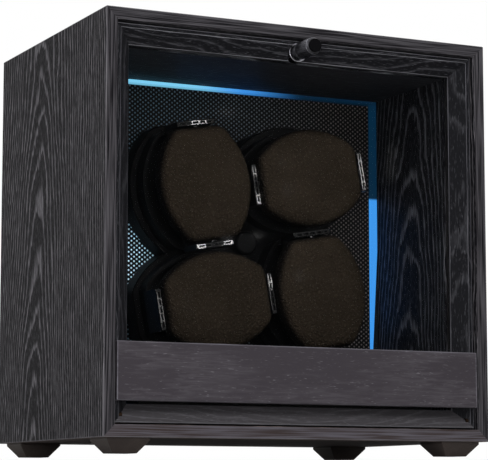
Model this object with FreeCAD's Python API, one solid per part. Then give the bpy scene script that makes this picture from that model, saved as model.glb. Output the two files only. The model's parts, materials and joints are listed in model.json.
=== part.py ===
import FreeCAD, Part
import math
import os

# A watch winder cabinet with a fall-front glazed door and a four-cushion carousel, in millimetres.
# Every piece is drawn with X from the middle of the cabinet, Y back from the cabinet's front face and
# Z up from the cabinet's underside. save() then moves it so that the origin lies on the table, under
# the middle of the whole object.

# Cabinet boards, mitred at the corners
WIDTH = 260.0
DEPTH = 181.0
HEIGHT = 252.0
BOARD = 7.5
EDGE_EASE = 0.7

# Tapered feet
FOOT_HEIGHT = 9.0
FOOT_PLINTH = 1.5
FOOT_TOP = 27.0
FOOT_SOLE = 15.0
FOOT_INSET = 4.5
FOOT_EASE = 0.6
FOOT_SCREW_SEAT = -5.0
FOOT_WELL_R = 3.5

# Chamber lining and the two boards that close the rear
LINER = 12.5
LINER_FRONT = 18.6
BACK_PANEL_FRONT = 171.0
BACK_PANEL = 4.0
ROTOR_BOARD_FRONT = 102.0
ROTOR_BOARD = 5.0
LIGHT_GAP_SIDE = 7.3
LIGHT_GAP_TOP = 2.4

# Door frame section: a flat bead, then a bevel down to the pane
DOOR_GAP = 0.8
DOOR_FLOOR_GAP = 1.0
DOOR_FRONT = 4.0
DOOR_BACK = 17.2
BEAD_WIDTH = 2.7
BEVEL_BACK = 12.7
FRAME_WIDTH = 11.2
LIP = 1.2
RABBET = 7.4
PANE = 2.0
PANE_BEAD_WIDTH = 3.2
PANE_BEAD = 1.2
PIVOT_Y = 6.5
PIVOT_Z = 13.0
PIVOT_PIN_R = 1.0
PIVOT_INTO_BOARD = 4.5
PIVOT_INTO_STILE = 5.0
PIVOT_BUSH_R = 1.7
RUNNING_CLEARANCE = 0.05

# Apron across the foot of the door
APRON_LOW = 21.0
APRON_HIGH = 55.5
APRON_GAP = 1.0
APRON_SCREW_INSET = 8.0

# Door knob, turned on an axis along Y
KNOB_REACH = 16.0
KNOB_Z = 237.4
KNOB_R = 5.1
KNOB_FLANGE_R = 6.2
KNOB_FLANGE_FRONT = 6.8
KNOB_SEAT = 9.0
KNOB_NECK_R = 3.6
KNOB_BODY_BACK = 3.5
KNOB_CAP_R = 4.2
KNOB_CAP = 1.2
KNOB_SCREW_SEAT = 11.6

# Carousel
CAROUSEL_Z = 127.0
CAROUSEL_TURN = 6.5
CUSHION_TWIST = 3.5
CUSHION_COUNT = 4
CUSHION_ORBIT = 52.2
PLATE_MARGIN = 6.0
PLATE_FRONT = 85.5
PLATE_BACK = 91.5
PLATE_DISC_R = 30.0
PLATE_RIM_EASE = 0.8
SKIRT_BACK = 99.5
SKIRT_WALL = 2.5
CUP_MARGIN = 1.5
CUP_WALL = 2.5
CUP_FLOOR = 3.0
CUP_FRONT = 74.0
SOCKET = 20.6
SOCKET_WALL = 2.7
SHAFT_R = 4.0
HUB_R = 14.0
HOUSING_FRONT = 98.0
HOUSING_BACK = 115.0
HOUSING_R = 10.0
BUSH_R = 7.0
BUSH_LENGTH = 5.0
HOUSING_FLANGE_R = 22.0
HOUSING_FLANGE = 3.0
HOUSING_SCREW_ORBIT = 16.0
CUP_SCREW_ORBIT = 20.5
NUT_R = 8.0
NUT = 7.0
NUT_DOME = 2.5
SHAFT_PAST_PLATE = 5.0

# Cushion: a crowned leather pad held between the cheeks of a moulded cuff
PAD_LENGTH = 72.6
PAD_WIDTH = 63.6
PAD_FRONT = 47.5
PAD_BACK = 63.5
PAD_CORNER_R = 8.5
PAD_SIDE_R = 50.0
CHEEK = 3.6
CHEEK_WIDTH = 26.0
CHEEK_FRONT = 54.0
CHEEK_GAP = 0.4
CHEEK_RAIL = 1.1
CHEEK_GROOVE = 2.0
CHEEK_POCKETS = 5
CHEEK_RIB = 0.9
CHEEK_EASE = 0.6
BRIDGE_FRONT = 70.0
BRIDGE_BACK = 73.0
CUFF_PIN_R = 2.0
CUFF_PIN_REACH = 4.0
SPIGOT = 20.0
SPIGOT_BACK = 82.0

# Spur gears between the motor and the carousel shaft
GEAR_MODULE = 1.0
GEAR_TEETH = 60
PINION_TEETH = 15
BACKLASH = 0.3
DEDENDUM = 1.25
ADDENDUM = 0.95
GEAR_FLANK = (0.42, 0.36)
PINION_FLANK = (0.2, 0.45)
GEAR_FRONT = 117.5
GEAR_BACK = 125.5
GEAR_HUB_R = 9.0
GEAR_HUB_FRONT = 2.0
GEAR_HUB_BACK = 1.5
GEAR_HOLES = 6
GEAR_HOLE_R = 5.0
GEAR_HOLE_ORBIT = 18.0
MOTOR_DROP = GEAR_MODULE * (GEAR_TEETH + PINION_TEETH) / 2

# Control deck on the chamber floor, behind the apron
DECK_HALF = 100.0
DECK_FRONT = 20.0
DECK_BACK = 44.0
DECK_TOP = 46.0
DECK_WALL = 2.0
BUTTON_R = 5.0
BUTTON_TRAVEL = 1.5
BUTTON_SPACING = 44.0
BUTTON_FLANGE_DROP = 0.6
PCB_TOP = 39.0
PCB = 1.6
PCB_HALF = 60.0
PCB_MARGIN = 0.5
SWITCH_HALF = 3.0
PLUNGER_R = 1.7
PLUNGER = 1.0
STANDOFF_R = 2.5
STANDOFF_X = 55.0
STANDOFF_INSET = 5.5
BUTTON_PROUD = 2.0
BUTTON_FLANGE = 1.3

# Magnetic catch at the top of the door
CATCH_X = 70.0
CATCH_DROP = 4.2
MAGNET_R = 4.0
MAGNET = 4.0
STRIKE = 1.0
STRIKE_HALF_WIDE = 8.0
STRIKE_HALF_HIGH = 2.8

# Light channel round the rotor board: a frosted strip in the gap, with a tape of lamps behind it
DIFFUSER_FRONT = 104.0
DIFFUSER_BACK = 108.0
TAPE_FRONT = 109.4
TAPE_BACK = 110.2
TAPE_HALF = 3.0
TOP_TAPE = 4.0
LAMP_PITCH = 16.5
LAMP_HALF = 1.5
LAMP_HEIGHT = 0.9
CLEAT_BACK = 121.0
CLEAT_INNER = 94.0
CLEAT_STEP = 2.0
TOP_CLEAT = 8.0
TOP_CLEAT_DROP = 4.0

# Geared motor on a folded bracket behind the rotor board
BRACKET_FRONT = 129.0
BRACKET = 2.0
BRACKET_HALF = 40.0
BRACKET_FOOT = 12.0
BRACKET_HALF_HEIGHT = 20.0
GEARBOX_R = 18.5
GEARBOX = 16.0
MOTOR_R = 12.2
MOTOR = 19.0
MOTOR_SHAFT_R = 2.5
MOTOR_BOSS_R = 6.0
GEARBOX_SCREW_X = 13.0
BRACKET_SCREW_Z = 12.0
MOTOR_FLAT = 10.0
MOTOR_COLLAR = 2.0
TERMINAL = 3.0
TERMINAL_X = 5.0
TERMINAL_HALF = 1.2
TERMINAL_LOW = -5.0
TERMINAL_THICK = 0.6

# Low-voltage inlet in the back panel
JACK_X = 78.0
JACK_Z = 40.0
JACK_BORE_R = 2.85
JACK_BARREL_R = 4.0
JACK_FLANGE_R = 5.6
JACK_FLANGE = 1.5
JACK_INNER = 14.0
JACK_BORE = 10.0

JACK_NUT_R = 6.2
JACK_NUT = 2.5

# Screws: length and radius of the shank, radius and height of the pan head
FOOT_SCREW = (10.0, 1.6, 3.2, 2.0)
REAR_SCREW = (14.0, 1.5, 3.0, 1.8)
CLEAT_SCREW = (16.5, 1.2, 2.4, 1.4)
HOUSING_SCREW = (6.5, 1.2, 2.2, 1.3)
MOTOR_SCREW = (6.0, 1.4, 2.6, 1.5)
CUP_SCREW = (8.0, 1.2, 2.3, 1.4)
APRON_SCREW = (14.5, 0.7, 1.4, 1.0)
KNOB_SCREW = (19.0, 1.5, 2.8, 1.6)
HEAD_ROUNDING = 0.45

# Values that follow from the ones above
HALF = WIDTH / 2
OPENING_HALF = HALF - BOARD
OPENING_LOW = BOARD
OPENING_HIGH = HEIGHT - BOARD
CHAMBER_HALF = OPENING_HALF - LINER
CHAMBER_LOW = OPENING_LOW + LINER
CHAMBER_HIGH = OPENING_HIGH - LINER
DOOR_HALF = OPENING_HALF - DOOR_GAP
DOOR_LOW = OPENING_LOW + DOOR_FLOOR_GAP
DOOR_HIGH = OPENING_HIGH - DOOR_GAP
ROTOR_BOARD_BACK = ROTOR_BOARD_FRONT + ROTOR_BOARD
ROTOR_BOARD_HALF = CHAMBER_HALF - LIGHT_GAP_SIDE
ROTOR_BOARD_TOP = CHAMBER_HIGH - LIGHT_GAP_TOP
MOTOR_Z = CAROUSEL_Z - MOTOR_DROP
PAD_MIDDLE = (PAD_FRONT + PAD_BACK) / 2 + 1.0
CATCH_Z = DOOR_HIGH - CATCH_DROP
DECK_UNDER = DECK_TOP - DECK_WALL
SWITCH_TOP = DECK_UNDER - BUTTON_FLANGE_DROP - BUTTON_TRAVEL
TO_ORIGIN = FreeCAD.Vector(0, -(DEPTH - KNOB_REACH) / 2, FOOT_HEIGHT)

V = FreeCAD.Vector
ALONG_Y = V(0, 1, 0)
ALONG_X = V(1, 0, 0)
FRONT_NORMAL = V(0, -1, 0)


def slab(x0, x1, y0, y1, z0, z1):
    """A block between two corners."""
    return Part.makeBox(x1 - x0, y1 - y0, z1 - z0, V(x0, y0, z0))


def rod(radius, x, z, y0, y1):
    """A cylinder along Y."""
    return Part.makeCylinder(radius, y1 - y0, V(x, y0, z), ALONG_Y)


def post(radius, x, y, z0, z1):
    """A cylinder along Z."""
    return Part.makeCylinder(radius, z1 - z0, V(x, y, z0))


def group(shapes):
    """Separate solids that share one node."""
    return Part.makeCompound(shapes)


def fused(shapes):
    """One solid made of several touching ones."""
    return shapes[0].multiFuse(shapes[1:]).removeSplitter()


def prism(corners, travel):
    """A polygon pushed along a vector."""
    return Part.Face(Part.makePolygon(corners + corners[:1])).extrude(travel)


def rounded_wire(corners, radii):
    """A closed outline of straight lines whose corners are arcs of the given radii."""
    turns = []
    for index, corner in enumerate(corners):
        back = (corners[index - 1] - corner).normalize()
        ahead = (corners[(index + 1) % len(corners)] - corner).normalize()
        half_angle = back.getAngle(ahead) / 2
        reach = radii[index] / math.tan(half_angle)
        inward = (back + ahead).normalize() * (radii[index] / math.sin(half_angle) - radii[index])
        turns.append((corner + back * reach, corner + inward, corner + ahead * reach))
    edges = []
    for index, (start, middle, end) in enumerate(turns):
        if radii[index] > 0:
            edges.append(Part.Arc(start, middle, end).toShape())
        following = turns[(index + 1) % len(turns)][0]
        edges.append(Part.LineSegment(end, following).toShape())
    return Part.Wire(edges)


def screw(place, direction, size):
    """A pan-head screw: place is under the head, direction is the way the shank points."""
    length, shank_r, head_r, head_height = size
    crown = place - direction * head_height
    head = Part.makeCylinder(head_r, head_height, crown, direction)
    rim = [edge for edge in head.Edges if edge.isClosed() and (edge.CenterOfMass - crown).Length < 0.01]
    head = head.makeFillet(head_height * HEAD_ROUNDING, rim)
    shank = Part.makeCylinder(shank_r, length, place, direction)
    return fused([head, shank])


def mitred(ring, half, low, high, y0, y1):
    """Part a rectangular ring into four pieces along the 45 degree lines of its corners."""
    past = 2.0
    inside = 16.0
    out_x, in_x = half + past, half - inside
    under, over = low - past, high + past
    in_low, in_high = low + inside, high - inside
    outlines = {
        "top": [(-out_x, over), (out_x, over), (in_x, in_high), (-in_x, in_high)],
        "bottom": [(-out_x, under), (out_x, under), (in_x, in_low), (-in_x, in_low)],
        "left": [(-out_x, under), (-out_x, over), (-in_x, in_high), (-in_x, in_low)],
        "right": [(out_x, under), (out_x, over), (in_x, in_high), (in_x, in_low)],
    }
    pieces = {}
    for side, outline in outlines.items():
        wedge = prism([V(x, y0, z) for x, z in outline], V(0, y1 - y0, 0))
        pieces[side] = ring.common(wedge)
    return pieces


def cabinet_boards():
    """Four boards with eased outer edges, mitred where they meet."""
    outer = slab(-HALF, HALF, 0, DEPTH, 0, HEIGHT)
    opening = slab(-OPENING_HALF, OPENING_HALF, -1, DEPTH + 1, OPENING_LOW, OPENING_HIGH)
    shell = outer.cut(opening)

    def shows(edge):
        box = edge.BoundBox
        across_face = box.YLength < 0.01
        outer_corner = abs(abs(box.Center.x) - HALF) < 0.01
        return across_face or outer_corner

    shell = shell.makeFillet(EDGE_EASE, [edge for edge in shell.Edges if shows(edge)])
    return mitred(shell, HALF, 0, HEIGHT, -1, DEPTH + 1)


def foot_places():
    across = HALF - FOOT_INSET - FOOT_TOP / 2
    front = FOOT_INSET + FOOT_TOP / 2
    return [(x, y) for y in (front, DEPTH - front) for x in (-across, across)]


def foot(x, y):
    """A square plinth that tapers to a smaller sole, counterbored for its screw."""
    def square(side, z):
        h = side / 2
        return Part.makePolygon([V(x - h, y - h, z), V(x + h, y - h, z), V(x + h, y + h, z),
                                 V(x - h, y + h, z), V(x - h, y - h, z)])
    plinth = slab(x - FOOT_TOP / 2, x + FOOT_TOP / 2, y - FOOT_TOP / 2, y + FOOT_TOP / 2, -FOOT_PLINTH, 0)
    taper = Part.makeLoft([square(FOOT_SOLE, -FOOT_HEIGHT), square(FOOT_TOP, -FOOT_PLINTH)], True, True)
    block = fused([plinth, taper])
    block = block.makeFillet(FOOT_EASE, [edge for edge in block.Edges if edge.BoundBox.ZMin < -0.01])
    return block.cut(post(FOOT_WELL_R, x, y, -FOOT_HEIGHT - 1, FOOT_SCREW_SEAT))


def foot_screw(x, y):
    return screw(V(x, y, FOOT_SCREW_SEAT), V(0, 0, 1), FOOT_SCREW)


def liners():
    """Boards that line the chamber and run back to carry the rear panel."""
    y0, y1 = LINER_FRONT, BACK_PANEL_FRONT
    return {
        "left_liner": slab(-OPENING_HALF, -CHAMBER_HALF, y0, y1, OPENING_LOW, OPENING_HIGH),
        "right_liner": slab(CHAMBER_HALF, OPENING_HALF, y0, y1, OPENING_LOW, OPENING_HIGH),
        "ceiling_liner": slab(-CHAMBER_HALF, CHAMBER_HALF, y0, y1, CHAMBER_HIGH, OPENING_HIGH),
        "floor_liner": slab(-CHAMBER_HALF, CHAMBER_HALF, y0, y1, OPENING_LOW, CHAMBER_LOW),
    }


def back_panel_screws():
    x = OPENING_HALF - LINER / 2
    high = OPENING_HIGH - LINER / 2
    low = OPENING_LOW + LINER / 2
    places = [(-x, high), (0, high), (x, high), (-x, low), (0, low), (x, low),
              (-x, HEIGHT / 2), (x, HEIGHT / 2)]
    seat = BACK_PANEL_FRONT + BACK_PANEL
    return [screw(V(px, seat, pz), FRONT_NORMAL, REAR_SCREW) for px, pz in places]


def dc_jack():
    """A panel socket for a low-voltage supply: outer flange, threaded barrel and an open bore."""
    outside = BACK_PANEL_FRONT + BACK_PANEL
    flange = rod(JACK_FLANGE_R, JACK_X, JACK_Z, outside, outside + JACK_FLANGE)
    barrel = rod(JACK_BARREL_R, JACK_X, JACK_Z, BACK_PANEL_FRONT - JACK_INNER, outside)
    mouth = outside + JACK_FLANGE
    bore = rod(JACK_BORE_R, JACK_X, JACK_Z, mouth - JACK_BORE, mouth + 1)
    return fused([flange, barrel]).cut(bore)


def jack_nut():
    """The hexagon nut that clamps the socket from inside."""
    front = BACK_PANEL_FRONT - JACK_NUT
    corners = [math.radians(60 * i) for i in range(6)]
    points = [V(JACK_X + JACK_NUT_R * math.cos(a), front, JACK_Z + JACK_NUT_R * math.sin(a)) for a in corners]
    hole = rod(JACK_BARREL_R, JACK_X, JACK_Z, front - 1, BACK_PANEL_FRONT + 1)
    return prism(points, V(0, JACK_NUT, 0)).cut(hole)


def light_diffusers():
    y0, y1 = DIFFUSER_FRONT, DIFFUSER_BACK
    top = slab(-CHAMBER_HALF, CHAMBER_HALF, y0, y1, ROTOR_BOARD_TOP, CHAMBER_HIGH)
    right = slab(ROTOR_BOARD_HALF, CHAMBER_HALF, y0, y1, CHAMBER_LOW, ROTOR_BOARD_TOP)
    return [top, right, right.mirror(V(0, 0, 0), ALONG_X)]


def led_strips():
    """Flat tapes with a row of small square lamps facing the frosted strips."""
    lamp_front = TAPE_FRONT - LAMP_HEIGHT
    first_lamp = 0.6 * LAMP_PITCH
    side_x = (ROTOR_BOARD_HALF + CHAMBER_HALF) / 2
    side_low, side_top = CHAMBER_LOW + 2, ROTOR_BOARD_TOP - 6
    side = [slab(side_x - TAPE_HALF, side_x + TAPE_HALF, TAPE_FRONT, TAPE_BACK, side_low, side_top)]
    for i in range(int((side_top - CHAMBER_LOW) / LAMP_PITCH)):
        z = CHAMBER_LOW + first_lamp + LAMP_PITCH * i
        side.append(slab(side_x - LAMP_HALF, side_x + LAMP_HALF, lamp_front, TAPE_FRONT,
                         z - LAMP_HALF, z + LAMP_HALF))
    tape_high = CHAMBER_HIGH - 0.2
    tape_middle = tape_high - TOP_TAPE / 2
    top_half = CHAMBER_HALF - 3
    top = [slab(-top_half, top_half, TAPE_FRONT, TAPE_BACK, tape_high - TOP_TAPE, tape_high)]
    for i in range(int(2 * top_half / LAMP_PITCH)):
        x = -top_half + first_lamp + LAMP_PITCH * i
        top.append(slab(x - LAMP_HALF, x + LAMP_HALF, lamp_front, TAPE_FRONT,
                        tape_middle - LAMP_HALF, tape_middle + LAMP_HALF))
    right = fused(side)
    return [fused(top), right, right.mirror(V(0, 0, 0), ALONG_X)]


def board_cleats():
    """Stepped battens on the liners, which hold the rotor board and carry the light tapes."""
    step = ROTOR_BOARD_HALF - CLEAT_STEP
    outline = [V(CLEAT_INNER, ROTOR_BOARD_BACK, CHAMBER_LOW), V(step, ROTOR_BOARD_BACK, CHAMBER_LOW),
               V(step, TAPE_BACK, CHAMBER_LOW), V(CHAMBER_HALF, TAPE_BACK, CHAMBER_LOW),
               V(CHAMBER_HALF, CLEAT_BACK, CHAMBER_LOW), V(CLEAT_INNER, CLEAT_BACK, CHAMBER_LOW)]
    top_step = ROTOR_BOARD_TOP - TOP_CLEAT_DROP
    low = top_step - TOP_CLEAT
    right = prism(outline, V(0, 0, top_step - CHAMBER_LOW))
    outline = [V(-CLEAT_INNER, ROTOR_BOARD_BACK, low), V(-CLEAT_INNER, ROTOR_BOARD_BACK, top_step),
               V(-CLEAT_INNER, TAPE_BACK, top_step), V(-CLEAT_INNER, TAPE_BACK, CHAMBER_HIGH),
               V(-CLEAT_INNER, CLEAT_BACK, CHAMBER_HIGH), V(-CLEAT_INNER, CLEAT_BACK, low)]
    top = prism(outline, V(2 * CLEAT_INNER, 0, 0))
    return [top, right, right.mirror(V(0, 0, 0), ALONG_X)]


def board_screws():
    x = (CLEAT_INNER + ROTOR_BOARD_HALF - CLEAT_STEP) / 2
    heights = (CHAMBER_LOW + 25, (CHAMBER_LOW + CHAMBER_HIGH) / 2, CHAMBER_HIGH - 35)
    return [screw(V(side * x, CLEAT_BACK, z), FRONT_NORMAL, CLEAT_SCREW)
            for side in (-1, 1) for z in heights]


def rotor_board():
    """The patterned board behind the carousel, with a hole for the bearing housing."""
    board = slab(-ROTOR_BOARD_HALF, ROTOR_BOARD_HALF, ROTOR_BOARD_FRONT, ROTOR_BOARD_BACK,
                 CHAMBER_LOW, ROTOR_BOARD_TOP)
    return board.cut(rod(HOUSING_R, 0, CAROUSEL_Z, ROTOR_BOARD_FRONT - 1, ROTOR_BOARD_BACK + 1))


def bearing_housing():
    """A flanged tube through the rotor board with a seat for a bush at each end."""
    tube = rod(HOUSING_R, 0, CAROUSEL_Z, HOUSING_FRONT, HOUSING_BACK)
    flange = rod(HOUSING_FLANGE_R, 0, CAROUSEL_Z, ROTOR_BOARD_BACK, ROTOR_BOARD_BACK + HOUSING_FLANGE)
    body = fused([tube, flange])
    body = body.cut(rod(SHAFT_R + 1, 0, CAROUSEL_Z, HOUSING_FRONT - 1, HOUSING_BACK + 1))
    body = body.cut(rod(BUSH_R, 0, CAROUSEL_Z, HOUSING_FRONT, HOUSING_FRONT + BUSH_LENGTH))
    return body.cut(rod(BUSH_R, 0, CAROUSEL_Z, HOUSING_BACK - BUSH_LENGTH, HOUSING_BACK))


def shaft_bushes():
    bushes = []
    for y in (HOUSING_FRONT, HOUSING_BACK - BUSH_LENGTH):
        bush = rod(BUSH_R, 0, CAROUSEL_Z, y, y + BUSH_LENGTH)
        hole = rod(SHAFT_R + RUNNING_CLEARANCE, 0, CAROUSEL_Z, y - 1, y + BUSH_LENGTH + 1)
        bushes.append(bush.cut(hole))
    return bushes


def housing_screws():
    seat = ROTOR_BOARD_BACK + HOUSING_FLANGE
    places = []
    for i in range(4):
        angle = math.radians(45 + 90 * i)
        places.append(V(HOUSING_SCREW_ORBIT * math.cos(angle), seat,
                        CAROUSEL_Z + HOUSING_SCREW_ORBIT * math.sin(angle)))
    return [screw(place, FRONT_NORMAL, HOUSING_SCREW) for place in places]


def motor_bracket():
    """A folded strip: two feet on the board, two legs and the plate that carries the gearbox."""
    y0, y1 = ROTOR_BOARD_BACK, BRACKET_FRONT + BRACKET
    leg, toe = BRACKET_HALF, BRACKET_HALF + BRACKET_FOOT
    inside = [(toe, y0), (leg - BRACKET, y0), (leg - BRACKET, BRACKET_FRONT)]
    outside = [(leg, y1), (leg, y0 + BRACKET), (toe, y0 + BRACKET)]
    outline = inside + [(-x, y) for x, y in reversed(inside)]
    outline += [(-x, y) for x, y in reversed(outside)] + outside
    low = MOTOR_Z - BRACKET_HALF_HEIGHT
    strip = prism([V(x, y, low) for x, y in outline], V(0, 0, 2 * BRACKET_HALF_HEIGHT))
    return strip.cut(rod(MOTOR_BOSS_R, 0, MOTOR_Z, BRACKET_FRONT - 1, y1 + 1))


def motor_screws():
    """Board screws in the bracket's feet and machine screws from its plate into the gearbox."""
    foot_x = BRACKET_HALF + BRACKET_FOOT / 2
    foot_y = ROTOR_BOARD_BACK + BRACKET
    places = [(V(side * foot_x, foot_y, MOTOR_Z + dz), FRONT_NORMAL)
              for side in (-1, 1) for dz in (-BRACKET_SCREW_Z, BRACKET_SCREW_Z)]
    places += [(V(side * GEARBOX_SCREW_X, BRACKET_FRONT, MOTOR_Z), ALONG_Y) for side in (-1, 1)]
    return [screw(place, direction, MOTOR_SCREW) for place, direction in places]


def gearbox_case():
    back = BRACKET_FRONT + BRACKET
    case = rod(GEARBOX_R, 0, MOTOR_Z, back, back + GEARBOX)
    boss = rod(MOTOR_BOSS_R, 0, MOTOR_Z, BRACKET_FRONT - 1, back)
    bore = rod(MOTOR_SHAFT_R + RUNNING_CLEARANCE, 0, MOTOR_Z, BRACKET_FRONT - 2, back + GEARBOX - 3)
    return fused([case, boss]).cut(bore)


def motor_can():
    """A round can with a flat on top and two solder terminals at its rear."""
    front = BRACKET_FRONT + BRACKET + GEARBOX
    back = front + MOTOR
    can = rod(MOTOR_R, 0, MOTOR_Z, front, back)
    flat_low, flat_high = MOTOR_Z + MOTOR_FLAT, MOTOR_Z + MOTOR_R
    can = can.cut(slab(-MOTOR_R, MOTOR_R, front + MOTOR_COLLAR, back, flat_low, flat_high))
    low = MOTOR_Z + TERMINAL_LOW
    terminals = [slab(x - TERMINAL_HALF, x + TERMINAL_HALF, back, back + TERMINAL, low, low + TERMINAL_THICK)
                 for x in (-TERMINAL_X, TERMINAL_X)]
    return fused([can] + terminals)


def gear_outline(teeth, centre_z, first_tooth, root_flare, tip_taper):
    """Straight-flanked teeth, wider at the root and narrower at the tip than at the pitch circle.

    first_tooth is the angle of one tooth's middle, in radians.
    """
    pitch_r = GEAR_MODULE * teeth / 2
    root_r = pitch_r - DEDENDUM * GEAR_MODULE
    tip_r = pitch_r + ADDENDUM * GEAR_MODULE
    half_thick = math.pi * GEAR_MODULE / 4 - BACKLASH / 2
    points = []
    for i in range(teeth):
        middle = first_tooth + 2 * math.pi * i / teeth
        for radius, half in ((root_r, -(half_thick + root_flare)), (tip_r, -(half_thick - tip_taper)),
                             (tip_r, half_thick - tip_taper), (root_r, half_thick + root_flare)):
            angle = middle + half / radius
            points.append(V(radius * math.cos(angle), GEAR_FRONT, centre_z + radius * math.sin(angle)))
    return points


def drive_gear():
    """The large gear on the carousel shaft, lightened by a ring of holes, with a rear hub."""
    outline = gear_outline(GEAR_TEETH, CAROUSEL_Z, -math.pi / 2, *GEAR_FLANK)
    gear = prism(outline, V(0, GEAR_BACK - GEAR_FRONT, 0))
    hub = rod(GEAR_HUB_R, 0, CAROUSEL_Z, GEAR_FRONT - GEAR_HUB_FRONT, GEAR_BACK + GEAR_HUB_BACK)
    holes = []
    for i in range(GEAR_HOLES):
        angle = 2 * math.pi * i / GEAR_HOLES
        x, z = GEAR_HOLE_ORBIT * math.cos(angle), CAROUSEL_Z + GEAR_HOLE_ORBIT * math.sin(angle)
        holes.append(rod(GEAR_HOLE_R, x, z, GEAR_FRONT - 1, GEAR_BACK + 1))
    bore = rod(SHAFT_R, 0, CAROUSEL_Z, GEAR_FRONT - 5, GEAR_BACK + 5)
    return fused([gear.cut(group(holes)), hub]).cut(bore)


def motor_pinion():
    """The small gear with its output shaft, turning in the gearbox."""
    half_pitch = math.pi / PINION_TEETH
    outline = gear_outline(PINION_TEETH, MOTOR_Z, math.pi / 2 + half_pitch, *PINION_FLANK)
    gear = prism(outline, V(0, GEAR_BACK - GEAR_FRONT, 0))
    shaft_end = BRACKET_FRONT + BRACKET + GEARBOX - 4
    return fused([gear, rod(MOTOR_SHAFT_R, 0, MOTOR_Z, GEAR_FRONT - 2, shaft_end)])


def lobe_places():
    """Angles of the carousel's four stations, starting at the upper left and going clockwise."""
    return [135.0 + CAROUSEL_TURN - 90.0 * k for k in range(CUSHION_COUNT)]


def on_orbit(degrees):
    angle = math.radians(degrees)
    return CUSHION_ORBIT * math.cos(angle), CAROUSEL_Z + CUSHION_ORBIT * math.sin(angle)


def barrel(margin, y0, y1):
    """A block with the cushion's outline, made larger all round by a margin."""
    return Part.Face(pad_outline(-margin, y0)).extrude(V(0, y1 - y0, 0))


def clover(margin, y0, y1):
    """The four stations' barrels joined in one block."""
    return fused([at_station(barrel(margin, y0, y1), angle) for angle in lobe_places()])


def turntable_plate():
    """Four lobes with the cushions' outline, eased in front, with a skirt round their rear edge."""
    lobe = barrel(PLATE_MARGIN, PLATE_FRONT, PLATE_BACK)
    rim = [edge for edge in lobe.Edges if edge.BoundBox.YMax < PLATE_FRONT + 0.01]
    lobe = lobe.makeChamfer(PLATE_RIM_EASE, rim)
    lobes = [at_station(lobe, angle) for angle in lobe_places()]
    skirt = clover(PLATE_MARGIN, PLATE_BACK, SKIRT_BACK)
    skirt = skirt.cut(clover(PLATE_MARGIN - SKIRT_WALL, PLATE_BACK - 1, SKIRT_BACK + 1))
    skirt = skirt.cut(rod(PLATE_DISC_R, 0, CAROUSEL_Z, PLATE_BACK - 1, SKIRT_BACK + 1))
    plate = fused(lobes + [skirt, rod(PLATE_DISC_R, 0, CAROUSEL_Z, PLATE_FRONT, PLATE_BACK)])
    return plate.cut(rod(SHAFT_R, 0, CAROUSEL_Z, PLATE_FRONT - 1, PLATE_BACK + 1))


def holder_cup(degrees):
    """A cup on the plate with the cushion's outline and a square socket for its spigot."""
    cup = barrel(CUP_MARGIN, CUP_FRONT, PLATE_FRONT)
    cup = cup.cut(barrel(CUP_MARGIN - CUP_WALL, CUP_FRONT - 1, PLATE_FRONT - CUP_FLOOR))
    outer = SOCKET / 2 + SOCKET_WALL
    inner = SOCKET / 2
    boss = slab(-outer, outer, CUP_FRONT, PLATE_FRONT, -outer, outer)
    hole = slab(-inner, inner, CUP_FRONT - 1, PLATE_FRONT - CUP_FLOOR, -inner, inner)
    return at_station(fused([cup, boss]).cut(hole), degrees)


def cup_screws():
    """Screws through the plate from behind, two to each cup."""
    screws = []
    for degrees in lobe_places():
        x, z = on_orbit(degrees)
        across = math.radians(degrees + 90)
        for side in (-1, 1):
            reach = side * CUP_SCREW_ORBIT
            place = V(x + reach * math.cos(across), PLATE_BACK, z + reach * math.sin(across))
            screws.append(screw(place, FRONT_NORMAL, CUP_SCREW))
    return screws


def turntable_hub():
    hub = rod(HUB_R, 0, CAROUSEL_Z, PLATE_BACK, HOUSING_FRONT - 0.5)
    return hub.cut(rod(SHAFT_R, 0, CAROUSEL_Z, PLATE_BACK - 1, HOUSING_FRONT))


def drive_shaft():
    return rod(SHAFT_R, 0, CAROUSEL_Z, PLATE_FRONT - SHAFT_PAST_PLATE, GEAR_BACK + GEAR_HUB_BACK + 0.5)


def hub_nut():
    """The domed nut that clamps the plate to its shaft."""
    tip = PLATE_FRONT - NUT
    nut = rod(NUT_R, 0, CAROUSEL_Z, tip, PLATE_FRONT)
    front = [edge for edge in nut.Edges if edge.BoundBox.YMax < tip + 0.01]
    nut = nut.makeFillet(NUT_DOME, front)
    return nut.cut(drive_shaft())


def pad_outline(inset, y):
    """The cushion's barrel outline: straight short ends, bowed long sides and round corners."""
    length = PAD_LENGTH / 2 - inset
    width = PAD_WIDTH / 2 - inset
    corner = PAD_CORNER_R - 0.3 * inset
    side_x = width - PAD_SIDE_R
    turn_z = length - corner
    turn_x = side_x + math.sqrt((PAD_SIDE_R - corner) ** 2 - turn_z ** 2)
    reach = PAD_SIDE_R / (PAD_SIDE_R - corner)
    join_x = side_x + (turn_x - side_x) * reach
    join_z = turn_z * reach
    slant = math.atan2(turn_z, turn_x - side_x)
    bend = (slant + math.pi / 2) / 2
    bend_x = turn_x + corner * math.cos(bend)
    bend_z = turn_z + corner * math.sin(bend)

    def at(x, z):
        return V(x, y, z)

    edges = [
        Part.Arc(at(join_x, -join_z), at(width, 0), at(join_x, join_z)),
        Part.Arc(at(join_x, join_z), at(bend_x, bend_z), at(turn_x, length)),
        Part.LineSegment(at(turn_x, length), at(-turn_x, length)),
        Part.Arc(at(-turn_x, length), at(-bend_x, bend_z), at(-join_x, join_z)),
        Part.Arc(at(-join_x, join_z), at(-width, 0), at(-join_x, -join_z)),
        Part.Arc(at(-join_x, -join_z), at(-bend_x, -bend_z), at(-turn_x, -length)),
        Part.LineSegment(at(-turn_x, -length), at(turn_x, -length)),
        Part.Arc(at(turn_x, -length), at(bend_x, -bend_z), at(join_x, -join_z)),
    ]
    return Part.Wire([edge.toShape() for edge in edges])


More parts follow.
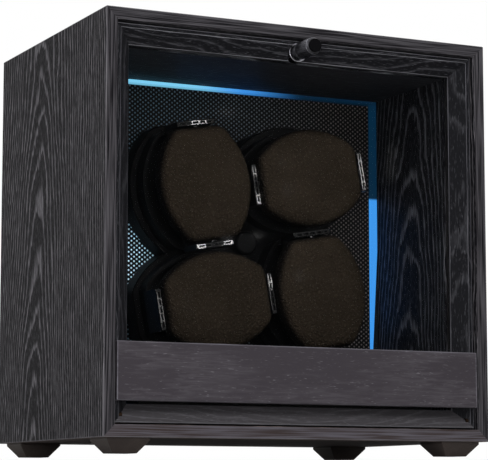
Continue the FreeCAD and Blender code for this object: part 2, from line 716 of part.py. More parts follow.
# How far the pad draws in from its full outline, from the flat back to the top of the crown
PAD_SECTIONS = ((PAD_BACK, 3.4), (PAD_BACK - 2.2, 1.0), (PAD_MIDDLE, 0.0), (PAD_MIDDLE - 4.0, 1.0),
                (PAD_FRONT + 2.4, 3.8), (PAD_FRONT + 0.8, 8.0), (PAD_FRONT, 15.0))


def cuff_pins():
    """Short pins on the cheeks' inner faces, which hold the pad by its ends."""
    end = PAD_LENGTH / 2 + CHEEK_GAP
    reach = CUFF_PIN_REACH + CHEEK_GAP
    return [Part.makeCylinder(CUFF_PIN_R, reach, V(0, PAD_MIDDLE, side * (end - reach if side > 0 else end)))
            for side in (-1, 1)]


def upright_pad():
    """A crowned cushion with drawn-in sides, long axis upright, centred on the Y axis."""
    pad = Part.makeLoft([pad_outline(inset, y) for y, inset in PAD_SECTIONS], True, False)
    return pad.cut(group(cuff_pins()))


def upright_cuff():
    """Two cheeks past the pad's ends, the bridge behind the pad and a square spigot.

    Each cheek's front edge is hollowed into a row of pockets between two rails.
    """
    inner = PAD_LENGTH / 2 + CHEEK_GAP
    outer = inner + CHEEK
    half = CHEEK_WIDTH / 2
    spigot = slab(-SPIGOT / 2, SPIGOT / 2, BRIDGE_BACK, SPIGOT_BACK, -SPIGOT / 2, SPIGOT / 2)
    bridge = slab(-half, half, BRIDGE_FRONT, BRIDGE_BACK, -outer, outer)
    cheek = slab(-half, half, CHEEK_FRONT, BRIDGE_FRONT, inner, outer)
    front = [edge for edge in cheek.Edges if edge.BoundBox.YMax < CHEEK_FRONT + 0.01]
    cheek = cheek.makeFillet(CHEEK_EASE, front)
    pitch = (CHEEK_WIDTH - CHEEK_RIB - 2 * CHEEK_RAIL) / CHEEK_POCKETS
    for i in range(CHEEK_POCKETS):
        x = -half + CHEEK_RAIL + CHEEK_RIB + pitch * i
        pocket = slab(x, x + pitch - CHEEK_RIB, CHEEK_FRONT - 1, CHEEK_FRONT + CHEEK_GROOVE,
                      inner + CHEEK_RAIL, outer - CHEEK_RAIL)
        cheek = cheek.cut(pocket)
    other = cheek.mirror(V(0, 0, 0), V(0, 0, 1))
    return fused([bridge, cheek, other, spigot] + cuff_pins())


def at_station(shape, degrees):
    """Place an upright cushion piece at its station, turned with the carousel."""
    x, z = on_orbit(degrees)
    placed = shape.copy()
    placed.rotate(V(0, 0, 0), FRONT_NORMAL, degrees - 135.0 + CUSHION_TWIST)
    placed.translate(V(x, 0, z))
    return placed


def frame_section(place):
    """The door frame's section; place turns depth and distance from the outer edge into a point."""
    corners = [(DOOR_FRONT, 0), (DOOR_FRONT, BEAD_WIDTH), (BEVEL_BACK, FRAME_WIDTH),
               (BEVEL_BACK + LIP, FRAME_WIDTH), (BEVEL_BACK + LIP, RABBET),
               (DOOR_BACK, RABBET), (DOOR_BACK, 0)]
    radii = [0.6, 0.5, 0.7, 0, 0, 0, 0.4]
    return Part.Face(rounded_wire([place(y, w) for y, w in corners], radii))


def door_frame():
    """Two rails and two stiles of one section, mitred at the corners."""
    across = V(2 * DOOR_HALF, 0, 0)
    up = V(0, 0, DOOR_HIGH - DOOR_LOW)
    runs = {
        "top": frame_section(lambda y, w: V(-DOOR_HALF, y, DOOR_HIGH - w)).extrude(across),
        "bottom": frame_section(lambda y, w: V(-DOOR_HALF, y, DOOR_LOW + w)).extrude(across),
        "left": frame_section(lambda y, w: V(-DOOR_HALF + w, y, DOOR_LOW)).extrude(up),
        "right": frame_section(lambda y, w: V(DOOR_HALF - w, y, DOOR_LOW)).extrude(up),
    }
    pieces = {}
    for side, run in runs.items():
        pieces[side] = mitred(run, DOOR_HALF, DOOR_LOW, DOOR_HIGH, 0, DOOR_BACK + 1)[side]
    return pieces


def door_slab(edge, y0, y1):
    """A flat block a given distance inside the door's outer edges."""
    return slab(-DOOR_HALF + edge, DOOR_HALF - edge, y0, y1, DOOR_LOW + edge, DOOR_HIGH - edge)


def door_pane():
    front = BEVEL_BACK + LIP
    return door_slab(RABBET + 0.3, front, front + PANE)


def pane_beads():
    """Thin strips in the rabbet behind the pane."""
    front = BEVEL_BACK + LIP + PANE
    back = front + PANE_BEAD
    outer = RABBET + 0.1
    ring = door_slab(outer, front, back).cut(door_slab(outer + PANE_BEAD_WIDTH, front - 1, back + 1))
    pieces = mitred(ring, DOOR_HALF, DOOR_LOW, DOOR_HIGH, front - 1, back + 1)
    return list(pieces.values())


def door_apron():
    """A veneered strip across the foot of the door, flush with the cabinet's front edges."""
    half = OPENING_HALF - APRON_GAP
    outline = [V(-half, 0, APRON_LOW), V(-half, 0, APRON_HIGH), V(-half, DOOR_FRONT, APRON_HIGH),
               V(-half, DOOR_FRONT, APRON_LOW)]
    return Part.Face(rounded_wire(outline, [1.4, 0.5, 0.3, 0.3])).extrude(V(2 * half, 0, 0))


def apron_screws():
    """Small screws from behind each stile into the apron."""
    x = DOOR_HALF - BEAD_WIDTH / 2 - 0.4
    return [screw(V(side * x, DOOR_BACK - APRON_SCREW[-1], z), FRONT_NORMAL, APRON_SCREW)
            for side in (-1, 1) for z in (APRON_LOW + APRON_SCREW_INSET, APRON_HIGH - APRON_SCREW_INSET)]


def knob_flange(rail):
    """A round base let into the bevel: flat in front, shaped to the rail behind."""
    base = rod(KNOB_FLANGE_R, 0, KNOB_Z, KNOB_FLANGE_FRONT, BEVEL_BACK - 0.3)
    rim = [edge for edge in base.Edges if edge.BoundBox.YMax < KNOB_FLANGE_FRONT + 0.01]
    base = base.makeFillet(0.6, rim).cut(rail)
    return max(base.Solids, key=lambda solid: solid.Volume)


def knob_body():
    """The turned grip: a neck, a base ring, the knurled length and a bevelled end."""
    end = -KNOB_REACH + KNOB_CAP
    back = KNOB_BODY_BACK
    ring_r, groove_r = KNOB_R + 0.1, KNOB_R - 0.2
    profile = [(0, KNOB_FLANGE_FRONT), (KNOB_NECK_R, KNOB_FLANGE_FRONT), (KNOB_NECK_R, back),
               (KNOB_R - 0.4, back), (ring_r, back - 0.5), (ring_r, back - 1.4), (groove_r, back - 1.7),
               (KNOB_R, back - 2.0), (KNOB_R, end + 1.6), (groove_r, end + 1.3), (KNOB_R, end + 1.0),
               (KNOB_CAP_R + 0.2, end), (0, end)]
    points = [V(radius, y, KNOB_Z) for radius, y in profile]
    face = Part.Face(Part.makePolygon(points + points[:1]))
    return face.revolve(V(0, 0, KNOB_Z), ALONG_Y, 360)


def knob_end_cap():
    cap = rod(KNOB_CAP_R, 0, KNOB_Z, -KNOB_REACH, -KNOB_REACH + KNOB_CAP)
    return cap.makeFillet(0.3, [edge for edge in cap.Edges if edge.BoundBox.YMax < -KNOB_REACH + 0.01])


def knob_screw():
    """A machine screw from a counterbore in the rail's back through the flange into the grip."""
    seat = V(0, KNOB_SCREW_SEAT, KNOB_Z)
    return screw(seat, FRONT_NORMAL, KNOB_SCREW)


def catch_magnets():
    return [rod(MAGNET_R, side * CATCH_X, CATCH_Z, LINER_FRONT, LINER_FRONT + MAGNET) for side in (-1, 1)]


def strike_plates():
    low, high = CATCH_Z - STRIKE_HALF_HIGH, CATCH_Z + STRIKE_HALF_HIGH
    return [slab(x - STRIKE_HALF_WIDE, x + STRIKE_HALF_WIDE, DOOR_BACK - STRIKE, DOOR_BACK, low, high)
            for x in (-CATCH_X, CATCH_X)]


def pivot_rods(radius, start, end):
    """Rods along X at both ends of the door's pivot line, from start to end outwards."""
    right = Part.makeCylinder(radius, end - start, V(start, PIVOT_Y, PIVOT_Z), ALONG_X)
    return [right, right.mirror(V(0, 0, 0), ALONG_X)]


def door_pivot_pins():
    return pivot_rods(PIVOT_PIN_R, DOOR_HALF - PIVOT_INTO_STILE, OPENING_HALF + PIVOT_INTO_BOARD)


def door_pivot_bushes():
    start = DOOR_HALF - PIVOT_INTO_STILE - 0.5
    outer = pivot_rods(PIVOT_BUSH_R, start, DOOR_HALF)
    inner = pivot_rods(PIVOT_PIN_R + RUNNING_CLEARANCE, start - 1, DOOR_HALF + 1)
    return [bush.cut(hole) for bush, hole in zip(outer, inner)]


def button_places():
    middle = (DECK_FRONT + DECK_BACK) / 2
    return [(-BUTTON_SPACING / 2, middle), (BUTTON_SPACING / 2, middle)]


def control_deck():
    """A hollow plinth on the chamber floor with a hole for each button."""
    deck = slab(-DECK_HALF, DECK_HALF, DECK_FRONT, DECK_BACK, CHAMBER_LOW, DECK_TOP)
    front_edge = [edge for edge in deck.Edges if edge.BoundBox.ZMin > DECK_TOP - 0.01]
    deck = deck.makeFillet(1.5, front_edge)
    inner_half = DECK_HALF - DECK_WALL
    inner_front, inner_back = DECK_FRONT + DECK_WALL, DECK_BACK - DECK_WALL
    hollow = slab(-inner_half, inner_half, inner_front, inner_back, CHAMBER_LOW - 1, DECK_UNDER)
    holes = [post(BUTTON_R + 0.3, x, y, DECK_UNDER - 1, DECK_TOP + 1) for x, y in button_places()]
    return deck.cut(hollow).cut(group(holes))


def control_pcb():
    """The circuit board under the deck, with a tact switch below each button and two chips."""
    y0 = DECK_FRONT + DECK_WALL + PCB_MARGIN
    y1 = DECK_BACK - DECK_WALL - PCB_MARGIN
    board = slab(-PCB_HALF, PCB_HALF, y0, y1, PCB_TOP - PCB, PCB_TOP)
    switch_top = SWITCH_TOP - PLUNGER
    switches = [slab(x - SWITCH_HALF, x + SWITCH_HALF, y - SWITCH_HALF, y + SWITCH_HALF, PCB_TOP, switch_top)
                for x, y in button_places()]
    plungers = [post(PLUNGER_R, x, y, switch_top, SWITCH_TOP) for x, y in button_places()]
    controller = slab(-50, -40, y0 + 5, y0 + 13, PCB_TOP, PCB_TOP + 1.6)
    regulator = slab(38, 50, y0 + 4, y0 + 12, PCB_TOP, PCB_TOP + 3)
    return fused([board] + switches + plungers + [controller, regulator])


def pcb_standoffs():
    depths = (DECK_FRONT + STANDOFF_INSET, DECK_BACK - STANDOFF_INSET)
    places = [(x, y) for x in (-STANDOFF_X, STANDOFF_X) for y in depths]
    return [post(STANDOFF_R, x, y, CHAMBER_LOW, PCB_TOP - PCB) for x, y in places]


def button(x, y):
    """A round push button with a flange that keeps it under the deck's top."""
    low = DECK_UNDER - BUTTON_FLANGE_DROP
    high = DECK_TOP + BUTTON_PROUD
    cap = post(BUTTON_R, x, y, low, high)
    cap = cap.makeFillet(0.8, [edge for edge in cap.Edges if edge.BoundBox.ZMin > high - 0.1])
    flange = post(BUTTON_R + BUTTON_FLANGE, x, y, low, DECK_UNDER - BUTTON_FLANGE_DROP / 2)
    return fused([cap, flange])


def cut_by(shape, tools):
    """Take the holes for pins and screws out of what they pass through."""
    return shape.cut(group(tools))


def save(name, shape):
    """Write one node, moved so that the origin lies under the middle of the whole object."""
    placed = shape.copy()
    placed.translate(TO_ORIGIN)
    if not placed.isValid():
        print("not valid:", name)
    placed.exportStep("parts/" + name + ".step")


def cabinet_nodes():
    boards = cabinet_boards()
    lining = liners()
    feet = foot_places()
    foot_fixings = [foot_screw(x, y) for x, y in feet]
    rear_fixings = back_panel_screws()
    pins = door_pivot_pins()
    magnets = catch_magnets()
    cleat_fixings = board_screws()
    motor_fixings = motor_screws()
    bearing_fixings = housing_screws()
    rear = BACK_PANEL_FRONT + BACK_PANEL
    jack_hole = rod(JACK_BARREL_R, JACK_X, JACK_Z, BACK_PANEL_FRONT - 1, rear + 1)
    panel = slab(-OPENING_HALF, OPENING_HALF, BACK_PANEL_FRONT, rear, OPENING_LOW, OPENING_HIGH)
    nodes = {
        "top_panel": boards["top"],
        "bottom_panel": cut_by(boards["bottom"], foot_fixings),
        "left_panel": cut_by(boards["left"], pins),
        "right_panel": cut_by(boards["right"], pins),
        "back_panel": cut_by(panel, rear_fixings + [jack_hole]),
        "back_panel_screws": group(rear_fixings),
        "feet": group([cut_by(foot(x, y), foot_fixings) for x, y in feet]),
        "foot_screws": group(foot_fixings),
        "left_liner": cut_by(lining["left_liner"], rear_fixings),
        "right_liner": cut_by(lining["right_liner"], rear_fixings),
        "ceiling_liner": cut_by(lining["ceiling_liner"], rear_fixings + magnets),
        "floor_liner": cut_by(lining["floor_liner"], rear_fixings + foot_fixings),
        "rotor_board": cut_by(rotor_board(), cleat_fixings + motor_fixings + bearing_fixings),
        "board_cleats": group([cut_by(cleat, cleat_fixings) for cleat in board_cleats()]),
        "light_diffusers": group(light_diffusers()),
        "led_strips": group(led_strips()),
        "bearing_housing": cut_by(bearing_housing(), bearing_fixings),
        "shaft_bushes": group(shaft_bushes()),
        "motor_bracket": cut_by(motor_bracket(), motor_fixings),
        "drive_screws": group(cleat_fixings + motor_fixings + bearing_fixings),
        "gearbox_case": cut_by(gearbox_case(), motor_fixings),
        "motor_can": motor_can(),
        "dc_jack": dc_jack(),
        "jack_nut": jack_nut(),
        "control_deck": control_deck(),
        "control_pcb": control_pcb(),
        "pcb_standoffs": group(pcb_standoffs()),
        "catch_magnets": group(magnets),
        "door_pivot_pins": group(pins),
    }
    return nodes


def door_nodes():
    frame = door_frame()
    bushes = door_pivot_bushes()
    bush_holes = pivot_rods(PIVOT_BUSH_R, DOOR_HALF - PIVOT_INTO_STILE - 0.5, DOOR_HALF + 1)
    fixings = apron_screws()
    strikes = strike_plates()
    turned_screw = knob_screw()
    seat = rod(KNOB_FLANGE_R, 0, KNOB_Z, 0, KNOB_SEAT)
    head_r = KNOB_SCREW[2]
    counterbore = rod(head_r, 0, KNOB_Z, KNOB_SCREW_SEAT, DOOR_BACK + 1)
    top_rail = cut_by(frame["top"], strikes + [turned_screw, seat, counterbore])
    stile_cuts = fixings + bush_holes
    return {
        "door_top_rail": top_rail,
        "door_bottom_rail": cut_by(frame["bottom"], bush_holes),
        "door_left_stile": cut_by(frame["left"], stile_cuts),
        "door_right_stile": cut_by(frame["right"], stile_cuts),
        "door_pane": door_pane(),
        "pane_beads": group(pane_beads()),
        "door_apron": cut_by(door_apron(), fixings),
        "door_screws": group(fixings + [turned_screw]),
        "knob_flange": cut_by(knob_flange(top_rail), [turned_screw]),
        "knob_body": cut_by(knob_body(), [turned_screw]),
        "knob_end_cap": knob_end_cap(),
        "strike_plates": group(strikes),
        "door_pivot_bushes": group(bushes),
    }


def carousel_nodes():
    fixings = cup_screws()
    nodes = {
        "turntable_plate": cut_by(turntable_plate(), fixings),
        "holder_cups": group([cut_by(holder_cup(angle), fixings) for angle in lobe_places()]),
        "cup_screws": group(fixings),
        "turntable_hub": turntable_hub(),
        "hub_nut": hub_nut(),
        "drive_shaft": drive_shaft(),
        "drive_gear": drive_gear(),
        "motor_pinion": motor_pinion(),
    }
    pad = upright_pad()
    cuff = upright_cuff()
    for number, angle in enumerate(lobe_places(), start=1):
        nodes["cushion_pad_%d" % number] = at_station(pad, angle)
        nodes["cushion_cuff_%d" % number] = at_station(cuff, angle)
    return nodes


def button_nodes():
    names = ("mode_button", "light_button")
    return {name: button(x, y) for name, (x, y) in zip(names, button_places())}


os.makedirs("parts", exist_ok=True)
for make in (cabinet_nodes, door_nodes, carousel_nodes, button_nodes):
    for node, solid in make().items():
        save(node, solid)
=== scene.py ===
import json
import math

import bpy
from mathutils import Matrix, Vector


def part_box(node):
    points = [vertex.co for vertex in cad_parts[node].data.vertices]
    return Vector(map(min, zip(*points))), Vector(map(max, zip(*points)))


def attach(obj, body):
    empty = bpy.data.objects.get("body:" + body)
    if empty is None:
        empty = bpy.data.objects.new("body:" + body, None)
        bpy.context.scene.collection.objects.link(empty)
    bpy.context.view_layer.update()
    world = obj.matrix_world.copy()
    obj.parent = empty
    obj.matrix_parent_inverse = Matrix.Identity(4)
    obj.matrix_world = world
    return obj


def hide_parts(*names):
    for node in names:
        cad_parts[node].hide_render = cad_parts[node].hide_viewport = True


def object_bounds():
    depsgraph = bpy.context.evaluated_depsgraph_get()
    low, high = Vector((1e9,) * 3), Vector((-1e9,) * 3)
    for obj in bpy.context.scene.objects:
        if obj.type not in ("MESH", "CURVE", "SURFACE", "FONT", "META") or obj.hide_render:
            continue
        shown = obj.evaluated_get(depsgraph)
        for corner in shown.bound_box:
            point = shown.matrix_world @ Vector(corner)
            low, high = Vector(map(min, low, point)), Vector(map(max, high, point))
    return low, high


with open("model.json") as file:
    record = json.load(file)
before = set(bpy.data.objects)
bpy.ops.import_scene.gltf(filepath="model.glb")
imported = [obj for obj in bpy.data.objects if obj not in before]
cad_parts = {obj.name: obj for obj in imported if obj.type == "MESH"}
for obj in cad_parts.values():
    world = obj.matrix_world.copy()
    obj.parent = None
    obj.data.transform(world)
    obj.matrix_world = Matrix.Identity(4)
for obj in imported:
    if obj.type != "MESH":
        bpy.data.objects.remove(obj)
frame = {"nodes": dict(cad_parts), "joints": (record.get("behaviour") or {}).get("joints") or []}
cad_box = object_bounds()
nodes = frame["nodes"]

# Cabinet boards
# Fibreboard faced with flat-sawn ash, stained black and mitred at the corners. The veneer runs up the
# sides and along the top and bottom, and its sharp edges carry a painted highlight, a paler tone where
# they would catch the light.
MM = 0.001


def linear(code):
    """The linear colour of an sRGB hex code."""
    channels = [int(code[i:i + 2], 16) / 255 for i in (1, 3, 5)]
    return [c / 12.92 if c <= 0.04045 else ((c + 0.055) / 1.055) ** 2.4 for c in channels] + [1.0]


def add(tree, kind, inputs, out=0, **settings):
    """Adds a node, sets it, fills its sockets with values or outputs, and gives one of its outputs."""
    node = tree.nodes.new(kind)
    for name, value in settings.items():
        setattr(node, name, value)
    for socket, value in inputs.items():
        if isinstance(value, bpy.types.NodeSocket):
            tree.links.new(value, node.inputs[socket])
        else:
            node.inputs[socket].default_value = value
    return node.outputs[out] if node.outputs else node


def start_material(name):
    """An empty material, its node tree and the place on the object in millimetres."""
    material = bpy.data.materials.new(name)
    material.use_nodes = True
    tree = material.node_tree
    tree.nodes.clear()
    place = add(tree, "ShaderNodeTexCoord", {}, out="Object")
    return material, tree, add(tree, "ShaderNodeVectorMath", {0: place, "Scale": 1 / MM}, operation="SCALE")


def dress(material, *names):
    """Gives CAD nodes their finish."""
    for name in names:
        slots = nodes[name].data.materials
        slots.clear()
        slots.append(material)


def box_mm(*names):
    """The box round some CAD nodes, as two corners in millimetres."""
    corners = [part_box(name) for name in names]
    low = [min(pair[0][i] for pair in corners) / MM for i in range(3)]
    high = [max(pair[1][i] for pair in corners) / MM for i in range(3)]
    return low, high


def inside_box(tree, place, low, high):
    """How far in from the nearer side of a box a place lies, along X, Y and Z."""
    past_low = add(tree, "ShaderNodeVectorMath", {0: place, 1: low}, operation="SUBTRACT")
    to_high = add(tree, "ShaderNodeVectorMath", {0: high, 1: place}, operation="SUBTRACT")
    depth = add(tree, "ShaderNodeVectorMath", {0: past_low, 1: to_high}, operation="MINIMUM")
    return add(tree, "ShaderNodeSeparateXYZ", {0: depth}).node.outputs


# How far the painted edge highlight reaches in from an edge, in millimetres.
HIGHLIGHT_REACH = 1.0


def highlit_edges(tree, place, box):
    """1 on the edges of a box, where a highlight is painted, falling to 0 as far in as it reaches."""
    near = [add(tree, "ShaderNodeMapRange",
                {"Value": depth, "From Max": HIGHLIGHT_REACH, "To Min": 1.0, "To Max": 0.0},
                interpolation_type="SMOOTHSTEP") for depth in inside_box(tree, place, *box)]
    highlight = 0.0
    for side, next_side in zip(near, near[1:] + near[:1]):
        edge = add(tree, "ShaderNodeMath", {0: side, 1: next_side}, operation="MULTIPLY")
        highlight = add(tree, "ShaderNodeMath", {0: highlight, 1: edge}, operation="MAXIMUM")
    return highlight


def highlit_moulding(tree, place, box, lines):
    """1 on the edges of a moulding round a frame, each a distance in from its outside and a half width."""
    depth = inside_box(tree, place, *box)
    inward = add(tree, "ShaderNodeMath", {0: depth["X"], 1: depth["Z"]}, operation="MINIMUM")
    highlight = 0.0
    for distance, half_width in lines:
        edge = add(tree, "ShaderNodeMath", {0: inward, 1: distance, 2: half_width}, operation="COMPARE")
        highlight = add(tree, "ShaderNodeMath", {0: highlight, 1: edge}, operation="MAXIMUM")
    return highlight


# Width and length of the streaks that the grain is made of, in millimetres. The pores and hairs are drawn
# about twice as wide as they are in ash, so that they show.
SWAY = (30.0, 70.0)
RING_TEETH = (1.8, 16.0)
PORES = (0.9, 14.0)
HAIRS = (0.45, 4.5)
EDGE_STREAKS = (0.8, 40.0)
# The painted edge highlight is broken into streaks of this width and length.
HIGHLIGHT_BREAKS = (3.0, 30.0)
# How far the fibres sway and how deep the pores are, in millimetres.
SWAY_REACH = 9.0
PORE_DEPTH = 0.12
# Where in a year ring the early wood is most open and where it ends, and how ragged each ring is.
EARLY_PEAK, EARLY_END = 0.12, 0.42
RAGGED = 0.65


def streaks(tree, grain, across, length):
    """A noise drawn out along the grain, in streaks of a width and a length in millimetres."""
    sized = add(tree, "ShaderNodeVectorMath", {0: grain, 1: (1 / across, 1 / across, 1 / length)},
                operation="MULTIPLY")
    return add(tree, "ShaderNodeTexNoise", {"Vector": sized, "Scale": 1.0, "Detail": 2.0}).node.outputs


def ash_figure(tree, grain, heart, crest, lean, ring, figure, flecks, fleck_share):
    """The figure of a flat-sawn board whose grain runs along Z: 0 in late wood, 1 in open pores.

    Year rings lie round a heart line. It goes through heart at the crest and leans away from there on both
    sides, per millimetre, so that the cut shows arches. Short hairs lie over the whole board.
    """
    swing = add(tree, "ShaderNodeVectorMath", {0: streaks(tree, grain, *SWAY)["Color"], 1: (0.5, 0.5, 0.5)},
                operation="SUBTRACT")
    fibre = add(tree, "ShaderNodeVectorMath", {0: swing, 1: (SWAY_REACH, SWAY_REACH, 0.0), 2: grain},
                operation="MULTIPLY_ADD")
    along = add(tree, "ShaderNodeSeparateXYZ", {0: grain}, out="Z")
    from_crest = add(tree, "ShaderNodeMath", {0: along, 1: crest}, operation="SUBTRACT")
    from_crest = add(tree, "ShaderNodeMath", {0: from_crest}, operation="ABSOLUTE")
    heart_line = add(tree, "ShaderNodeVectorMath", {0: from_crest, 1: (*lean, 0.0), 2: (*heart, 0.0)},
                     operation="MULTIPLY_ADD")
    from_heart = add(tree, "ShaderNodeVectorMath", {0: fibre, 1: heart_line}, operation="SUBTRACT")
    from_heart = add(tree, "ShaderNodeVectorMath", {0: from_heart, 1: (1.0, 1.0, 0.0)}, operation="MULTIPLY")
    radius = add(tree, "ShaderNodeVectorMath", {0: from_heart}, out="Value", operation="LENGTH")
    teeth = streaks(tree, grain, *RING_TEETH)["Fac"]
    radius = add(tree, "ShaderNodeMath", {0: teeth, 1: RAGGED * ring, 2: radius}, operation="MULTIPLY_ADD")
    years = add(tree, "ShaderNodeMath", {0: radius, 1: 1 / ring}, operation="MULTIPLY")
    year = add(tree, "ShaderNodeMath", {0: years}, operation="FRACT")
    opening = add(tree, "ShaderNodeMapRange", {"Value": year, "From Max": EARLY_PEAK},
                  interpolation_type="SMOOTHSTEP")
    closing = add(tree, "ShaderNodeMapRange", {"Value": year, "From Min": EARLY_PEAK, "From Max": EARLY_END,
                                               "To Min": 1.0, "To Max": 0.0}, interpolation_type="SMOOTHSTEP")
    early = add(tree, "ShaderNodeMath", {0: opening, 1: closing}, operation="MULTIPLY")
    pores = add(tree, "ShaderNodeMapRange", {"Value": streaks(tree, fibre, *PORES)["Fac"], "From Min": 0.4,
                                             "From Max": 0.62}, interpolation_type="SMOOTHSTEP")
    open_pores = add(tree, "ShaderNodeMath", {0: pores, 1: 0.6 * figure, 2: 0.4 * figure},
                     operation="MULTIPLY_ADD")
    hairs = add(tree, "ShaderNodeMapRange", {"Value": streaks(tree, fibre, *HAIRS)["Fac"],
                                             "From Min": 1.0 - fleck_share, "From Max": 1.2 - fleck_share},
                interpolation_type="SMOOTHSTEP")
    pale = add(tree, "ShaderNodeMath", {0: early, 1: open_pores}, operation="MULTIPLY")
    return add(tree, "ShaderNodeMath", {0: hairs, 1: flecks, 2: pale}, operation="MULTIPLY_ADD",
               use_clamp=True)


# The sockets of a Mix node for colours: the share, the two colours and the outcome. They go by number,
# because other sockets of the node have the same names.
SHARE, FIRST, SECOND, MIXED = 0, 6, 7, 2


def black_ash(name, along, heart, crest, lean, dark, light, ring=3.0, figure=1.0, flecks=0.3, fleck_share=0.5,
              edge_tone=None, highlight_box=None, highlight_tone="#77757a", highlight_lines=()):
    """Stained ash with its grain along an axis: matt and dark, with pale arches, pores and painted edge
    highlights.

    The front and back edges of a veneered board are lipped, in plain streaks of edge_tone. A painted
    highlight follows the edges of a box, or the lines of a moulding that runs round it.
    """
    material, tree, place = start_material(name)
    split = add(tree, "ShaderNodeSeparateXYZ", {0: place}).node.outputs
    grain = add(tree, "ShaderNodeCombineXYZ",
                {0: split[(along + 1) % 3], 1: split[(along + 2) % 3], 2: split[along]})
    pale = ash_figure(tree, grain, heart, crest, lean, ring, figure, flecks, fleck_share)
    colour = add(tree, "ShaderNodeMix", {SHARE: pale, FIRST: linear(dark), SECOND: linear(light)}, MIXED,
                 data_type="RGBA")
    if edge_tone:
        facing = add(tree, "ShaderNodeTexCoord", {}, out="Normal")
        forward = add(tree, "ShaderNodeSeparateXYZ", {0: facing}, out="Y")
        forward = add(tree, "ShaderNodeMath", {0: forward}, operation="ABSOLUTE")
        on_edge = add(tree, "ShaderNodeMapRange", {"Value": forward, "From Min": 0.6, "From Max": 0.9},
                      interpolation_type="SMOOTHSTEP")
        streak = add(tree, "ShaderNodeMapRange", {"Value": streaks(tree, grain, *EDGE_STREAKS)["Fac"],
                                                  "From Min": 0.3, "From Max": 0.7},
                     interpolation_type="SMOOTHSTEP")
        lipping = add(tree, "ShaderNodeMix", {SHARE: streak, FIRST: linear(dark), SECOND: linear(edge_tone)},
                      MIXED, data_type="RGBA")
        colour = add(tree, "ShaderNodeMix", {SHARE: on_edge, FIRST: colour, SECOND: lipping}, MIXED,
                     data_type="RGBA")
    # Painted highlight: a paler tone along the edges, in broken streaks, where eased edges would catch the
    # light.
    if highlight_box:
        if highlight_lines:
            highlight = highlit_moulding(tree, place, highlight_box, highlight_lines)
        else:
            highlight = highlit_edges(tree, place, highlight_box)
        patchy = add(tree, "ShaderNodeMapRange", {"Value": streaks(tree, grain, *HIGHLIGHT_BREAKS)["Fac"],
                                                  "From Min": 0.3, "From Max": 0.7, "To Min": 0.35},
                     interpolation_type="SMOOTHSTEP")
        highlight = add(tree, "ShaderNodeMath", {0: patchy, 1: highlight}, operation="MULTIPLY")
        colour = add(tree, "ShaderNodeMix", {SHARE: highlight, FIRST: colour, SECOND: linear(highlight_tone)}, MIXED,
                     data_type="RGBA")
    relief = add(tree, "ShaderNodeBump", {"Height": pale, "Strength": 0.5, "Distance": PORE_DEPTH * MM})
    rough = add(tree, "ShaderNodeMapRange", {"Value": pale, "To Min": 0.5, "To Max": 0.68},
                interpolation_type="SMOOTHSTEP")
    shader = add(tree, "ShaderNodeBsdfPrincipled", {"Base Color": colour, "Roughness": rough,
                                                    "Normal": relief, "Specular IOR Level": 0.02})
    add(tree, "ShaderNodeOutputMaterial", {"Surface": shader})
    return material


X_AXIS, Z_AXIS = 0, 2
# The heart of the log lies this deep under a board's face, and its crest outside the board, so that all
# the arches on a board point one way.
ARCH_DEPTH = 51.7
ARCH_LEAN = 0.11
CREST_ABOVE = 300.0
CREST_BESIDE = 180.0
SIDE_DARK, SIDE_LIGHT, SIDE_LIPPING = "#121114", "#77757a", "#4f4d51"
# The bottom board is drawn lighter and browner than the sides, as painted light for light from below.
BOTTOM_LIT_DARK, BOTTOM_LIT_LIGHT, BOTTOM_LIT_LIPPING = "#3a3231", "#857673", "#5c5960"
cabinet_box = box_mm("top_panel", "bottom_panel", "left_panel", "right_panel")
cabinet_low, cabinet_high = cabinet_box
SIDE_BOARDS = {
    "left": (Z_AXIS, (cabinet_low[0] + ARCH_DEPTH, 22.0), CREST_ABOVE, (-ARCH_LEAN, 0.04)),
    "right": (Z_AXIS, (cabinet_high[0] - ARCH_DEPTH, -8.0), CREST_ABOVE, (ARCH_LEAN, 0.03)),
    "top": (X_AXIS, (12.0, cabinet_high[2] - ARCH_DEPTH), CREST_BESIDE, (0.03, ARCH_LEAN)),
}
for board, (along, heart, crest, lean) in SIDE_BOARDS.items():
    ash = black_ash("black_ash_" + board, along, heart, crest, lean, SIDE_DARK, SIDE_LIGHT,
                    edge_tone=SIDE_LIPPING, highlight_box=cabinet_box)
    dress(ash, board + "_panel")
ash = black_ash("black_ash_bottom_painted_lit", X_AXIS, (-5.0, cabinet_low[2] + ARCH_DEPTH), -CREST_BESIDE,
                (0.03, -ARCH_LEAN), BOTTOM_LIT_DARK, BOTTOM_LIT_LIGHT, edge_tone=BOTTOM_LIT_LIPPING, highlight_box=cabinet_box)
dress(ash, "bottom_panel")

# Feet
# Four tapered blocks of moulded ABS, painted black and screwed up into the bottom board from below. Their
# tone is a lighter, browner black all over, painted light for the light that comes up from the table.
CLOUD_GRAINS = 30


